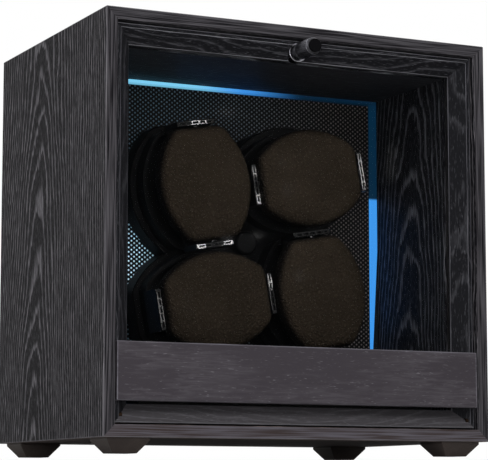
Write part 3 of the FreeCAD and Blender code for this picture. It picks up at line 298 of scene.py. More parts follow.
def moulded(name, tone, deep_tone, rough, grain=0.6, relief=0.05, sheen=0.5):
    """Moulded plastic or paint: an even, faintly clouded tone with a fine grain that softens its shine.

    grain is the width of the texture's grains and relief their height, in millimetres. A cloud is as wide
    as CLOUD_GRAINS of them.
    """
    material, tree, place = start_material(name)
    speckle = add(tree, "ShaderNodeTexNoise", {"Vector": place, "Scale": 1 / grain, "Detail": 3.0})
    cloud = add(tree, "ShaderNodeTexNoise",
                {"Vector": place, "Scale": 1 / (grain * CLOUD_GRAINS), "Detail": 2.0})
    mixed = add(tree, "ShaderNodeMath", {0: speckle, 1: cloud}, operation="MULTIPLY")
    share = add(tree, "ShaderNodeMapRange", {"Value": mixed, "From Min": 0.12, "From Max": 0.4})
    colour = add(tree, "ShaderNodeMix", {SHARE: share, FIRST: linear(deep_tone), SECOND: linear(tone)}, MIXED,
                 data_type="RGBA")
    bump = add(tree, "ShaderNodeBump", {"Height": speckle, "Strength": 0.5, "Distance": relief * MM})
    gloss = add(tree, "ShaderNodeMapRange", {"Value": cloud, "From Min": 0.3, "From Max": 0.7,
                                             "To Min": rough * 0.85, "To Max": rough * 1.15})
    shader = add(tree, "ShaderNodeBsdfPrincipled", {"Base Color": colour, "Roughness": gloss, "Normal": bump,
                                                    "Specular IOR Level": sheen})
    add(tree, "ShaderNodeOutputMaterial", {"Surface": shader})
    return material


# Brush marks are this many times as long as they are wide, and this deep in millimetres.
MARK_STRETCH = 30
MARK_DEPTH = 0.02


def plated(name, tone, rough, brush=0.3):
    """Turned or plated metal: it mirrors softly, dulled by brush marks of a width in millimetres.

    The marks are drawn coarser than real, so that they show.
    """
    material, tree, place = start_material(name)
    fine = add(tree, "ShaderNodeVectorMath",
               {0: place, 1: (1 / brush, 1 / (brush * MARK_STRETCH), 1 / brush)}, operation="MULTIPLY")
    scratch = add(tree, "ShaderNodeTexNoise", {"Vector": fine, "Scale": 1.0, "Detail": 3.0})
    dull = add(tree, "ShaderNodeMapRange", {"Value": scratch, "From Min": 0.3, "From Max": 0.7,
                                            "To Min": rough * 0.7, "To Max": rough * 1.4})
    shade = add(tree, "ShaderNodeMapRange", {"Value": scratch, "From Min": 0.3, "From Max": 0.7,
                                             "To Min": 0.75})
    colour = add(tree, "ShaderNodeMix", {SHARE: shade, FIRST: linear("#000000"), SECOND: linear(tone)}, MIXED,
                 data_type="RGBA")
    bump = add(tree, "ShaderNodeBump", {"Height": scratch, "Strength": 0.15, "Distance": MARK_DEPTH * MM})
    shader = add(tree, "ShaderNodeBsdfPrincipled", {"Base Color": colour, "Roughness": dull, "Normal": bump,
                                                    "Metallic": 1.0})
    add(tree, "ShaderNodeOutputMaterial", {"Surface": shader})
    return material


dress(moulded("black_painted_feet", "#4a423f", "#37312f", 0.5, sheen=0.1), "feet")
black_zinc = plated("black_zinc", "#2a2a2c", 0.35)
dress(black_zinc, "foot_screws")

# Chamber lining
# Thick boards faced with the same ash, stained darker, glued inside the cabinet behind the door. The
# grain runs up the walls and across the ceiling and floor.
WALL_DARK, WALL_LIGHT = "#131316", "#5a5b60"
CEILING_DARK, CEILING_LIGHT = "#17171a", "#55565b"
WALL_HEART = 48.0
wall_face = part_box("right_liner")[0][0] / MM
dress(black_ash("dark_ash_right_wall", Z_AXIS, (wall_face + WALL_HEART, -30.0), CREST_ABOVE,
                (-ARCH_LEAN, 0.05), WALL_DARK, WALL_LIGHT), "right_liner")
dress(black_ash("dark_ash_left_wall", Z_AXIS, (-wall_face - WALL_HEART, 10.0), CREST_ABOVE,
                (ARCH_LEAN, 0.05), WALL_DARK, WALL_LIGHT), "left_liner")
dress(black_ash("dark_ash_ceiling", X_AXIS, (20.0, 270.0), 0.0, (0.05, -0.13), CEILING_DARK, CEILING_LIGHT),
      "ceiling_liner", "floor_liner")

# Back panel
# A sheet of black-painted hardboard let in behind the boards and held by eight screws. Its smooth face
# is outside and shows the faint orange-peel of roller paint.
painted_hardboard = moulded("painted_hardboard", "#242325", "#19181a", 0.6, grain=1.4, relief=0.08, sheen=0.2)
dress(painted_hardboard, "back_panel")
dress(black_zinc, "back_panel_screws")

# Light strips
# Frosted acrylic set in the gap round the rotor board, lit from behind by tapes of small blue lamps. It
# glows evenly, almost white where the top tape starts, and is dark above the ends of the side tapes.
LIT_WHITE, LIT_BLUE, LIT_DIM = "#7fd2f6", "#3f97ee", "#021f33"
SIDE_LIT, SIDE_SHADED, SIDE_UNLIT = "#3f9bf2", "#03080e", "#01253c"
# Where the top run turns from white to blue and from blue to dim, in millimetres from the middle.
WHITE_TO_BLUE = (-30.0, 12.0)
BLUE_TO_DIM = (2.0, 56.0)
# The side tapes' lower and upper ends, the fade above the upper one, how far out from the middle the
# acrylic is lit at the lower one, and how far past its own edge it would be at the upper one.
TAPE_LOW, TAPE_TOP, TAPE_FADE = 71.0, 174.0, 1.0
LIT_OUT_LOW, LIT_PAST_EDGE = 106.2, 2.0
# The frosting is drawn coarser than real, so that it breaks up the shine.
FROST_GRAIN = 0.8
board_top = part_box("rotor_board")[1][2] / MM
strip_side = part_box("light_diffusers")[1][0] / MM


def top_run_glow(tree, across):
    """The light of the top run: almost white at its start, then blue, and dim past the middle."""
    turned_blue, turned_dim = [
        add(tree, "ShaderNodeMapRange", {"Value": across, "From Min": start, "From Max": end},
            interpolation_type="SMOOTHSTEP") for start, end in (WHITE_TO_BLUE, BLUE_TO_DIM)]
    lit = add(tree, "ShaderNodeMix", {SHARE: turned_blue, FIRST: linear(LIT_WHITE), SECOND: linear(LIT_BLUE)},
              MIXED, data_type="RGBA")
    return add(tree, "ShaderNodeMix", {SHARE: turned_dim, FIRST: lit, SECOND: linear(LIT_DIM)}, MIXED,
               data_type="RGBA")


material, tree, place = start_material("lit_frosted_acrylic")
across = add(tree, "ShaderNodeSeparateXYZ", {0: place}, out="X")
height = add(tree, "ShaderNodeSeparateXYZ", {0: place}, out="Z")
unlit = add(tree, "ShaderNodeMapRange",
            {"Value": height, "From Min": TAPE_TOP - TAPE_FADE, "From Max": TAPE_TOP + TAPE_FADE},
            interpolation_type="SMOOTHSTEP")
from_middle = add(tree, "ShaderNodeMath", {0: across}, operation="ABSOLUTE")
lit_edge = add(tree, "ShaderNodeMapRange", {"Value": height, "From Min": TAPE_LOW, "From Max": TAPE_TOP,
                                            "To Min": LIT_OUT_LOW, "To Max": strip_side + LIT_PAST_EDGE})
shaded = add(tree, "ShaderNodeMath", {0: from_middle, 1: lit_edge}, operation="GREATER_THAN")
side_run = add(tree, "ShaderNodeMix", {SHARE: shaded, FIRST: linear(SIDE_LIT), SECOND: linear(SIDE_SHADED)},
               MIXED, data_type="RGBA")
side_run = add(tree, "ShaderNodeMix", {SHARE: unlit, FIRST: side_run, SECOND: linear(SIDE_UNLIT)}, MIXED,
               data_type="RGBA")
on_top = add(tree, "ShaderNodeMath", {0: height, 1: board_top}, operation="GREATER_THAN")
glow = add(tree, "ShaderNodeMix", {SHARE: on_top, FIRST: side_run, SECOND: top_run_glow(tree, across)}, MIXED,
           data_type="RGBA")
frost = add(tree, "ShaderNodeTexNoise", {"Vector": place, "Scale": 1 / FROST_GRAIN, "Detail": 2.0})
satin = add(tree, "ShaderNodeMapRange", {"Value": frost, "To Min": 0.45, "To Max": 0.65})
shader = add(tree, "ShaderNodeBsdfPrincipled", {"Base Color": linear("#060d13"), "Roughness": satin,
                                                "Specular IOR Level": 0.15, "Emission Color": glow,
                                                "Emission Strength": 1.0})
add(tree, "ShaderNodeOutputMaterial", {"Surface": shader})
dress(material, "light_diffusers")
dress(moulded("lamp_tape", "#d8d6cc", "#bdbab0", 0.4), "led_strips")

# Rotor board
# A board on three cleats, faced with black vinyl that is printed with staggered rows of small silvery
# dots. Dots near the left-hand lamps are painted bluer and then white, with a painted glow, for the lamps'
# light, and a painted glow along the top edge stands for the light of the strip above it.
DOT_COLUMN = 3.7
DOT_ROW = 2.9
DOT_RADIUS = 0.58
DOT_RELIEF = 0.15
PRINT_PATCH = 2.2
# How far down the board's top edge the strip's light is painted as a glow, and its fade, in millimetres.
EDGE_SPILL, SPILL_FADE = 1.3, 0.4
VINYL_BLACK = "#08090b"
DOT_WARM, DOT_COOL, DOT_BRIGHT, DOT_GLOW = "#777170", "#6a8699", "#ffffff", "#86bbd6"
# Where the dots turn from warm to cool across the board, a painted tint of the tape's blue light, and where
# their painted shine begins and is full, in millimetres: towards the left, below the dark end of the tape,
# and above the lower cushion's cup.
WARM_AT, COOL_AT = 70.0, -60.0
SHINE_LEFT = (-36.0, -66.0)
SHINE_BELOW = (158.0, 138.0)
SHINE_ABOVE = (100.0, 114.0)
material, tree, place = start_material("dotted_vinyl")
lattice = add(tree, "ShaderNodeVectorMath", {0: place, 1: (1 / DOT_COLUMN, 0.0, 1 / DOT_ROW)},
              operation="MULTIPLY")
reach = []
for shift in (0.0, 0.5):
    moved = add(tree, "ShaderNodeVectorMath", {0: lattice, 1: (shift, 0.5, shift)}, operation="ADD")
    cell = add(tree, "ShaderNodeVectorMath", {0: moved}, operation="FRACTION")
    centred = add(tree, "ShaderNodeVectorMath", {0: cell, 1: (0.5, 0.5, 0.5)}, operation="SUBTRACT")
    sized = add(tree, "ShaderNodeVectorMath", {0: centred, 1: (DOT_COLUMN, 0.0, DOT_ROW)},
                operation="MULTIPLY")
    reach.append(add(tree, "ShaderNodeVectorMath", {0: sized}, out="Value", operation="LENGTH"))
nearest = add(tree, "ShaderNodeMath", {0: reach[0], 1: reach[1]}, operation="MINIMUM")
dot = add(tree, "ShaderNodeMapRange", {"Value": nearest, "From Min": DOT_RADIUS * 0.7,
                                       "From Max": DOT_RADIUS * 1.3, "To Min": 1.0, "To Max": 0.0},
          interpolation_type="SMOOTHSTEP")
patchy = add(tree, "ShaderNodeTexNoise", {"Vector": place, "Scale": 1 / PRINT_PATCH, "Detail": 1.0})
weight = add(tree, "ShaderNodeMapRange", {"Value": patchy, "From Min": 0.3, "From Max": 0.7, "To Min": 0.55})
dot = add(tree, "ShaderNodeMath", {0: dot, 1: weight}, operation="MULTIPLY")
across = add(tree, "ShaderNodeSeparateXYZ", {0: place}, out="X")
height = add(tree, "ShaderNodeSeparateXYZ", {0: place}, out="Z")
# Painted glow: the board's top edge gives off the top strip's colours, and the dots there are left out.
spill_low = board_top - EDGE_SPILL
spill = add(tree, "ShaderNodeMapRange", {"Value": height, "From Min": spill_low - SPILL_FADE,
                                         "From Max": spill_low + SPILL_FADE}, interpolation_type="SMOOTHSTEP")
plain = add(tree, "ShaderNodeMath", {0: 1.0, 1: spill}, operation="SUBTRACT")
dot = add(tree, "ShaderNodeMath", {0: dot, 1: plain}, operation="MULTIPLY")
# Painted highlight and painted glow: dots towards the left are drawn white and give off pale blue light.
shine = 1.0
for way, (start, end) in ((across, SHINE_LEFT), (height, SHINE_BELOW), (height, SHINE_ABOVE)):
    part = add(tree, "ShaderNodeMapRange", {"Value": way, "From Min": start, "From Max": end},
               interpolation_type="SMOOTHSTEP")
    shine = add(tree, "ShaderNodeMath", {0: shine, 1: part}, operation="MULTIPLY")
cool = add(tree, "ShaderNodeMapRange", {"Value": across, "From Min": WARM_AT, "From Max": COOL_AT})
dot_tone = add(tree, "ShaderNodeMix", {SHARE: cool, FIRST: linear(DOT_WARM), SECOND: linear(DOT_COOL)}, MIXED,
               data_type="RGBA")
dot_tone = add(tree, "ShaderNodeMix", {SHARE: shine, FIRST: dot_tone, SECOND: linear(DOT_BRIGHT)}, MIXED,
               data_type="RGBA")
colour = add(tree, "ShaderNodeMix", {SHARE: dot, FIRST: linear(VINYL_BLACK), SECOND: dot_tone}, MIXED,
             data_type="RGBA")
lit_dot = add(tree, "ShaderNodeMath", {0: dot, 1: shine}, operation="MULTIPLY")
glow = add(tree, "ShaderNodeMix", {SHARE: lit_dot, FIRST: linear("#000000"), SECOND: linear(DOT_GLOW)}, MIXED,
           data_type="RGBA")
glow = add(tree, "ShaderNodeMix", {SHARE: spill, FIRST: glow, SECOND: top_run_glow(tree, across)}, MIXED,
           data_type="RGBA")
relief = add(tree, "ShaderNodeBump", {"Height": dot, "Strength": 0.4, "Distance": DOT_RELIEF * MM})
shader = add(tree, "ShaderNodeBsdfPrincipled", {"Base Color": colour, "Roughness": 0.42, "Normal": relief,
                                                "Specular IOR Level": 0.12, "Emission Color": glow,
                                                "Emission Strength": 0.8})
add(tree, "ShaderNodeOutputMaterial", {"Surface": shader})
dress(material, "rotor_board")
dress(painted_hardboard, "board_cleats")

# Drive
# A small geared motor on a folded bracket of bright zinc-plated steel turns the carousel's shaft through a
# pair of milky acetal gears. The shaft runs in dull bronze bushes, in a black nylon housing.
zinc_steel = plated("zinc_plated_steel", "#b3b5b7", 0.32)
black_nylon = moulded("black_nylon", "#222224", "#171718", 0.5, sheen=0.3)
dress(zinc_steel, "motor_bracket", "drive_screws", "drive_shaft", "motor_can", "jack_nut")
dress(plated("sintered_bronze", "#9a7442", 0.45), "shaft_bushes")
dress(black_nylon, "bearing_housing", "gearbox_case", "dc_jack")
dress(moulded("white_acetal", "#dedbd2", "#cbc8be", 0.38), "drive_gear", "motor_pinion")

# Control deck
# A plinth of matt textured ABS on the chamber floor, hidden by the apron, with two grey push buttons over
# a green circuit board on brass pillars.
dress(moulded("textured_black_abs", "#1d1d1f", "#141415", 0.55, sheen=0.2), "control_deck")
dress(moulded("grey_button_abs", "#4a4a4d", "#3d3d40", 0.45), "mode_button", "light_button")
dress(moulded("green_solder_mask", "#1c5a32", "#143f24", 0.35), "control_pcb")
dress(plated("turned_brass", "#c8a24e", 0.28), "pcb_standoffs")

# Carousel
# One plate of satin black ABS with four lobes in the cushions' outline, and a cup screwed to each. A hub
# and a nut clamp it to the shaft. It is nearly as dark as the shade behind it.
dress(moulded("satin_black_abs", "#111112", "#0b0b0c", 0.4, sheen=0.06), "turntable_plate", "holder_cups",
      "hub_nut")
dress(black_nylon, "turntable_hub")
dress(zinc_steel, "cup_screws")

# Cushion cuffs
# The sprung frame of each cushion, moulded in black ABS. Its cheeks grip the pad's ends and its spigot
# pushes into a cup. Only the rails along the cheeks are polished, and they show as thin bright lines.
CUSHIONS = 4
RAIL_POLISH = 0.6
CUFF_CLOUD = 18.0
rails_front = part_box("cushion_cuff_1")[0][1]
polish_end = rails_front / MM + RAIL_POLISH
material, tree, place = start_material("polished_black_abs")
behind = add(tree, "ShaderNodeSeparateXYZ", {0: place}, out="Y")
rough = add(tree, "ShaderNodeMapRange", {"Value": behind, "From Min": polish_end,
                                         "From Max": polish_end + RAIL_POLISH,
                                         "To Min": 0.03, "To Max": 0.45})
cloud = add(tree, "ShaderNodeTexNoise", {"Vector": place, "Scale": 1 / CUFF_CLOUD, "Detail": 2.0})
colour = add(tree, "ShaderNodeMix", {SHARE: cloud, FIRST: linear("#080809"), SECOND: linear("#0b0b0c")},
             MIXED, data_type="RGBA")
shader = add(tree, "ShaderNodeBsdfPrincipled", {"Base Color": colour, "Roughness": rough,
                                                "Specular IOR Level": 0.18})
add(tree, "ShaderNodeOutputMaterial", {"Surface": shader})
dress(material, *["cushion_cuff_%d" % k for k in range(1, CUSHIONS + 1)])

# Cushion pads
# Foam pads in dark brown pebbled leather, crowned in front and drawn in at the ends. Each is stuffed a
# little full, so its face swells between the cheeks that hold it.
SAME_POINT = 0.01 * MM
PAD_VOXEL = 1.6 * MM
PAD_SMOOTHING = 4
PAD_SLIM = 0.2 * MM
PAD_SWELL = 1.3 * MM
PAD_REST = 1.5 * MM
PAD_PRESSURE = 4.0
SETTLING_FRAMES = 20


def swell(pad):
    """Blows a pad up as its filling does, with its back held and no point moved past PAD_SWELL."""
    scene = bpy.context.scene
    start = [vertex.co.copy() for vertex in pad.data.vertices]
    back = max(point.y for point in start)
    resting = pad.vertex_groups.new(name="resting")
    resting.add([i for i, point in enumerate(start) if point.y > back - PAD_REST], 1.0, "REPLACE")
    filling = pad.modifiers.new("filling", "CLOTH")
    filling.settings.use_pressure = True
    filling.settings.uniform_pressure_force = PAD_PRESSURE
    filling.settings.effector_weights.gravity = 0.0
    filling.settings.vertex_group_mass = resting.name
    for step in range(1, SETTLING_FRAMES + 1):
        scene.frame_set(step)
    bpy.ops.object.modifier_apply(modifier=filling.name)
    scene.frame_set(1)
    for vertex, point in zip(pad.data.vertices, start):
        moved = vertex.co - point
        if moved.length > PAD_SWELL:
            vertex.co = point + moved.normalized() * PAD_SWELL


def stuffed_pad(source, name):
    """A copy of a CAD pad, remeshed finely, made a little slimmer and swollen by its filling."""
    pad = bpy.data.objects.new(name, source.data.copy())
    bpy.context.scene.collection.objects.link(pad)
    bpy.ops.object.select_all(action="DESELECT")
    pad.select_set(True)
    bpy.context.view_layer.objects.active = pad
    bpy.ops.object.mode_set(mode="EDIT")
    bpy.ops.mesh.select_all(action="SELECT")
    bpy.ops.mesh.remove_doubles(threshold=SAME_POINT)
    bpy.ops.object.mode_set(mode="OBJECT")
    pad.data.remesh_voxel_size = PAD_VOXEL
    pad.data.use_remesh_preserve_volume = False
    bpy.ops.object.voxel_remesh()
    smooth = pad.modifiers.new("settled", "SMOOTH")
    smooth.iterations = PAD_SMOOTHING
    bpy.ops.object.modifier_apply(modifier=smooth.name)
    slim = pad.modifiers.new("slim", "DISPLACE")
    slim.strength = -PAD_SLIM
    slim.mid_level = 0.0
    bpy.ops.object.modifier_apply(modifier=slim.name)
    swell(pad)
    finer = pad.modifiers.new("finer", "SUBSURF")
    finer.levels = finer.render_levels = 1
    bpy.ops.object.modifier_apply(modifier=finer.name)
    bpy.ops.object.shade_smooth()
    return pad


# Pebbled leather is matt, with a soft grain that shows as pebbles and creases, with painted shade in the
# creases, worn patches, and painted shade round the rim where it is rolled round the foam. Its sizes are
# in millimetres.
PEBBLE = 2.3
CRINKLE = 2.0
PULL, PULL_REACH = 3.0, 2.4
WORN_PATCH = 24.0
GRAIN_DEPTH = 0.5
CREASE_SHADE_TONE, PEBBLE_TONE, WORN_TONE, RIM_SHADE_TONE = "#262019", "#332c24", "#3b332a", "#0c0a09"
leather, tree, place = start_material("pebbled_leather")
pull = add(tree, "ShaderNodeTexNoise", {"Vector": place, "Scale": 1 / PULL, "Detail": 2.0}, out="Color")
wander = add(tree, "ShaderNodeVectorMath", {0: pull, "Scale": PULL_REACH}, operation="SCALE")
drift = add(tree, "ShaderNodeVectorMath", {0: place, 1: wander}, operation="ADD")
pebble = add(tree, "ShaderNodeTexVoronoi", {"Vector": drift, "Scale": 1 / PEBBLE, "Randomness": 1.0},
             feature="DISTANCE_TO_EDGE")
dome = add(tree, "ShaderNodeMapRange", {"Value": pebble, "From Max": 0.4}, interpolation_type="SMOOTHSTEP")
crinkle = add(tree, "ShaderNodeTexNoise", {"Vector": drift, "Scale": 1 / CRINKLE, "Detail": 0.0,
                                           "Distortion": 0.3})
grain_height = add(tree, "ShaderNodeMath", {0: crinkle, 1: 1.6, 2: dome}, operation="MULTIPLY_ADD")
# Painted shade: the creases between the pebbles are drawn darker.
colour = add(tree, "ShaderNodeMix", {SHARE: dome, FIRST: linear(CREASE_SHADE_TONE), SECOND: linear(PEBBLE_TONE)},
             MIXED, data_type="RGBA")
patch = add(tree, "ShaderNodeTexNoise", {"Vector": place, "Scale": 1 / WORN_PATCH, "Detail": 2.0})
worn = add(tree, "ShaderNodeMapRange", {"Value": patch, "From Min": 0.4, "From Max": 0.75, "To Max": 0.35})
colour = add(tree, "ShaderNodeMix", {SHARE: worn, FIRST: colour, SECOND: linear(WORN_TONE)}, MIXED,
             data_type="RGBA")
# Painted shade: the leather turns almost black round the rim, where it faces away from the front.
facing = add(tree, "ShaderNodeTexCoord", {}, out="Normal")
backward = add(tree, "ShaderNodeSeparateXYZ", {0: facing}, out="Y")
face = add(tree, "ShaderNodeMapRange", {"Value": backward, "From Min": -0.35, "From Max": -0.93},
           interpolation_type="SMOOTHSTEP")
colour = add(tree, "ShaderNodeMix", {SHARE: face, FIRST: linear(RIM_SHADE_TONE), SECOND: colour}, MIXED,
             data_type="RGBA")
bump = add(tree, "ShaderNodeBump", {"Height": grain_height, "Strength": 1.0, "Distance": GRAIN_DEPTH * MM})
rough = add(tree, "ShaderNodeMapRange", {"Value": dome, "To Min": 0.8, "To Max": 0.7})
shader = add(tree, "ShaderNodeBsdfPrincipled", {"Base Color": colour, "Roughness": rough, "Normal": bump,
                                                "Specular IOR Level": 0.05})
add(tree, "ShaderNodeOutputMaterial", {"Surface": shader})

spin_axis = next(joint for joint in frame["joints"] if joint["name"] == "carousel_spin")["pos_m"]
to_axis = Matrix.Translation(Vector(spin_axis))
first_pad = stuffed_pad(nodes["cushion_pad_1"], "leather_pad_1")
pads = [first_pad]
for k in range(1, CUSHIONS):
    quarter_turns = to_axis @ Matrix.Rotation(k * math.radians(90), 4, "Y") @ to_axis.inverted()
    pad = bpy.data.objects.new("leather_pad_%d" % (k + 1), first_pad.data.copy())
    bpy.context.scene.collection.objects.link(pad)
    pad.data.transform(quarter_turns)
    pads.append(pad)
for k, pad in enumerate(pads, start=1):
    pad.data.materials.clear()
    pad.data.materials.append(leather)
    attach(pad, "cushion_%d" % k)
    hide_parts("cushion_pad_%d" % k)

# Door frame
# Two rails and two stiles of solid ash, mitred, with a flat bead outside and a bevel down to the pane. It
# hangs on two steel pins in bronze bushes at its foot, falls open to the front and shuts on magnets.
# The *_HIGHLIGHT tones are painted highlights along the moulding's edges and the frame's edges.
DOOR_DARK, DOOR_LIGHT, DOOR_HIGHLIGHT = "#1b1b1e", "#66666c", "#8c8c92"
STILE_LIGHT, STILE_HIGHLIGHT = "#58585d", "#606066"
# The bottom rail is drawn much lighter than the other rails, painted light for light reaching it under the
# apron.
LIT_FOOT_RAIL_DARK, LIT_FOOT_RAIL_LIGHT = "#434144", "#737176"
# Distance in from the outside and half width of each edge of the moulding that carries a painted highlight,
# in millimetres.
MOULDING_EDGES = ((0.3, 0.35), (2.7, 0.15), (11.0, 0.15))
RAIL_GRAIN = (X_AXIS, (-120.0, 130.0), 0.0, (0.02, 0.05))
STILE_GRAIN = (Z_AXIS, (30.0, -160.0), 130.0, (0.05, 0.02))
narrow_board = {
    "ring": 2.2,
    "fleck_share": 0.42,
    "highlight_box": box_mm("door_top_rail", "door_bottom_rail", "door_left_stile", "door_right_stile"),
}
dress(black_ash("black_ash_rails", *RAIL_GRAIN, DOOR_DARK, DOOR_LIGHT, figure=0.4, flecks=0.8,
                highlight_tone=DOOR_HIGHLIGHT, highlight_lines=MOULDING_EDGES, **narrow_board), "door_top_rail")
dress(black_ash("painted_lit_ash_bottom_rail", *RAIL_GRAIN, LIT_FOOT_RAIL_DARK, LIT_FOOT_RAIL_LIGHT, figure=0.3, flecks=0.6,
                highlight_tone=DOOR_HIGHLIGHT, **narrow_board), "door_bottom_rail")
dress(black_ash("black_ash_stiles", *STILE_GRAIN, DOOR_DARK, STILE_LIGHT, figure=0.4, flecks=0.8,
                highlight_tone=STILE_HIGHLIGHT, highlight_lines=MOULDING_EDGES, **narrow_board),
      "door_left_stile", "door_right_stile")
dress(plated("oiled_dark_bronze", "#2b2119", 0.5), "door_pivot_bushes")
dress(zinc_steel, "door_pivot_pins", "strike_plates", "catch_magnets")
dress(black_zinc, "door_screws")

# Pane
# Clear acrylic with a coating against reflections, laid in the frame's rabbet and held by thin painted
# beads. It is almost invisible, with faint smears in its gloss.
SMEAR = 40.0
material, tree, place = start_material("clear_acrylic")
dust = add(tree, "ShaderNodeTexNoise", {"Vector": place, "Scale": 1 / SMEAR, "Detail": 3.0})
smear = add(tree, "ShaderNodeMapRange", {"Value": dust, "To Min": 0.02, "To Max": 0.06})
shader = add(tree, "ShaderNodeBsdfPrincipled", {"Base Color": linear("#101214"), "Roughness": smear,
                                                "Alpha": 0.04, "Specular IOR Level": 0.05})
add(tree, "ShaderNodeOutputMaterial", {"Surface": shader})
dress(material, "door_pane")
dress(painted_hardboard, "pane_beads")

# Apron
# A solid strip of ash across the foot of the door, flush with the cabinet's front edges and screwed on
# from behind. Its stain is greyer than the rest, with short pale pores along the grain.
# APRON_HIGHLIGHT is a painted highlight along the apron's edges.
APRON_DARK, APRON_LIGHT, APRON_HIGHLIGHT = "#3f3b40", "#8a868c", "#74727a"
dress(black_ash("grey_ash_apron", X_AXIS, (-190.0, 40.0), 0.0, (0.02, 0.02), APRON_DARK, APRON_LIGHT,
                ring=9.0, figure=0.12, flecks=0.8, fleck_share=0.37, highlight_box=box_mm("door_apron"),
                highlight_tone=APRON_HIGHLIGHT), "door_apron")

# Knob
# Turned aluminium, black anodised, on a screw through the top rail: a flange let into the bevel, a body
# and a smooth end cap. The flange is drawn much lighter as a painted highlight, and the cap is dull.
KNOB_BRUSH = 0.2
dress(plated("anodised_ring_painted_highlight", "#86868c", 0.2, brush=KNOB_BRUSH), "knob_flange")
dress(plated("black_anodised_aluminium", "#4a4a4e", 0.34, brush=KNOB_BRUSH), "knob_body")
dress(plated("satin_anodised_cap", "#0f0f11", 0.5, brush=KNOB_BRUSH), "knob_end_cap")

# Knob grip
# A sleeve of diamond knurling on the knob's body, cut with a pair of wheels. Each diamond is a low pyramid
# about a millimetre across, and one of its sides always catches the light.
KNURL_AROUND = 30
KNURL_RINGS = 13
KNURL_RISE = 0.3 * MM
GRIP_SUNK = 0.08 * MM
GRIP_FROM_FLANGE = 5.3 * MM
GRIP_FROM_CAP = 1.6 * MM
knob_low, knob_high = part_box("knob_body")
knob_axis = (knob_low + knob_high) / 2
grip_radius = (knob_high.x - knob_low.x) / 2 - GRIP_SUNK
grip_back = knob_high.y - GRIP_FROM_FLANGE
grip_front = knob_low.y + GRIP_FROM_CAP
bpy.ops.object.select_all(action="DESELECT")
bpy.ops.mesh.primitive_circle_add(vertices=KNURL_AROUND, radius=grip_radius, rotation=(math.pi / 2, 0.0, 0.0),
                                  location=(knob_axis.x, grip_back, knob_axis.z))
grip = bpy.context.active_object
grip.name = "knurled_grip"
bpy.ops.object.transform_apply(location=True, rotation=True, scale=True)
bpy.ops.object.mode_set(mode="EDIT")
bpy.ops.mesh.select_all(action="SELECT")
ring_step = (grip_front - grip_back) / KNURL_RINGS
for ring in range(KNURL_RINGS):
    bpy.ops.mesh.extrude_region_move(TRANSFORM_OT_translate={"value": (0.0, ring_step, 0.0)})
bpy.ops.mesh.select_all(action="SELECT")
bpy.ops.mesh.normals_make_consistent(inside=False)
# The square cells are poked, and their own edges dissolved, which leaves diamonds that are poked in turn.
bpy.ops.mesh.mark_sharp()
bpy.ops.mesh.poke()
bpy.ops.object.mode_set(mode="OBJECT")
for element in (*grip.data.vertices, *grip.data.edges, *grip.data.polygons):
    element.select = False
for edge in grip.data.edges:
    ends = [grip.data.vertices[i].co.y for i in edge.vertices]
    on_rim = all(min(abs(y - grip_back), abs(y - grip_front)) < SAME_POINT for y in ends)
    edge.select = edge.use_edge_sharp and not on_rim
bpy.ops.object.mode_set(mode="EDIT")
bpy.ops.mesh.select_mode(type="EDGE")
bpy.ops.mesh.dissolve_edges(use_verts=False)
bpy.ops.mesh.select_all(action="SELECT")
bpy.ops.mesh.mark_sharp(clear=True)
bpy.ops.mesh.poke(offset=KNURL_RISE)
bpy.ops.object.mode_set(mode="OBJECT")
# The grip is drawn lighter than the body, a painted highlight for its lit diamonds.
grip.data.materials.append(plated("knurled_anodised_aluminium", "#606066", 0.28, brush=KNOB_BRUSH))
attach(grip, "door")

# Floor
# A pale floor that shows from above only, matt, with the object's soft shadow near it. It is lifted
# towards white for the viewer, less so in reflections, and fades to white far away.
FLOOR_SIZE = 8.0
FLOOR_LIFT = 0.4
FLOOR_IN_GLOSS = 0.22
FLOOR_NEAR_MM, FLOOR_FAR_MM = 450.0, 2600.0


def viewing(tree):
    """1 for what the camera sees, also through the pane, and 1 for what it sees mirrored."""
    rays = add(tree, "ShaderNodeLightPath", {}).node.outputs
    seen = add(tree, "ShaderNodeMath", {0: rays["Is Camera Ray"], 1: rays["Is Transmission Ray"]},
               operation="MAXIMUM")
    return seen, rays["Is Glossy Ray"]


bpy.ops.object.select_all(action="DESELECT")
bpy.ops.mesh.primitive_plane_add(size=FLOOR_SIZE, location=(0.0, 0.0, 0.0))
floor = bpy.context.active_object
floor.name = "floor"
material, tree, place = start_material("pale_floor")
seen, mirrored = viewing(tree)
lifted = add(tree, "ShaderNodeMath", {0: mirrored, 1: FLOOR_IN_GLOSS, 2: seen}, operation="MULTIPLY_ADD")
lift = add(tree, "ShaderNodeMath", {0: lifted, 1: FLOOR_LIFT}, operation="MULTIPLY")
paint = add(tree, "ShaderNodeBsdfDiffuse", {"Color": linear("#e9e9e7")})
paint = add(tree, "ShaderNodeAddShader", {0: paint, 1: add(tree, "ShaderNodeEmission", {"Strength": lift})})
away = add(tree, "ShaderNodeVectorMath", {0: place}, out="Value", operation="LENGTH")
far = add(tree, "ShaderNodeMapRange", {"Value": away, "From Min": FLOOR_NEAR_MM, "From Max": FLOOR_FAR_MM},
          interpolation_type="SMOOTHSTEP")
white = add(tree, "ShaderNodeMath", {0: far, 1: seen}, operation="MULTIPLY")
paint = add(tree, "ShaderNodeMixShader",
            {0: white, 1: paint, 2: add(tree, "ShaderNodeEmission", {"Strength": 1.0})})
underside = add(tree, "ShaderNodeNewGeometry", {}, out="Backfacing")
shader = add(tree, "ShaderNodeMixShader",
             {0: underside, 1: paint, 2: add(tree, "ShaderNodeBsdfTransparent", {})})
add(tree, "ShaderNodeOutputMaterial", {"Surface": shader})
floor.data.materials.append(material)

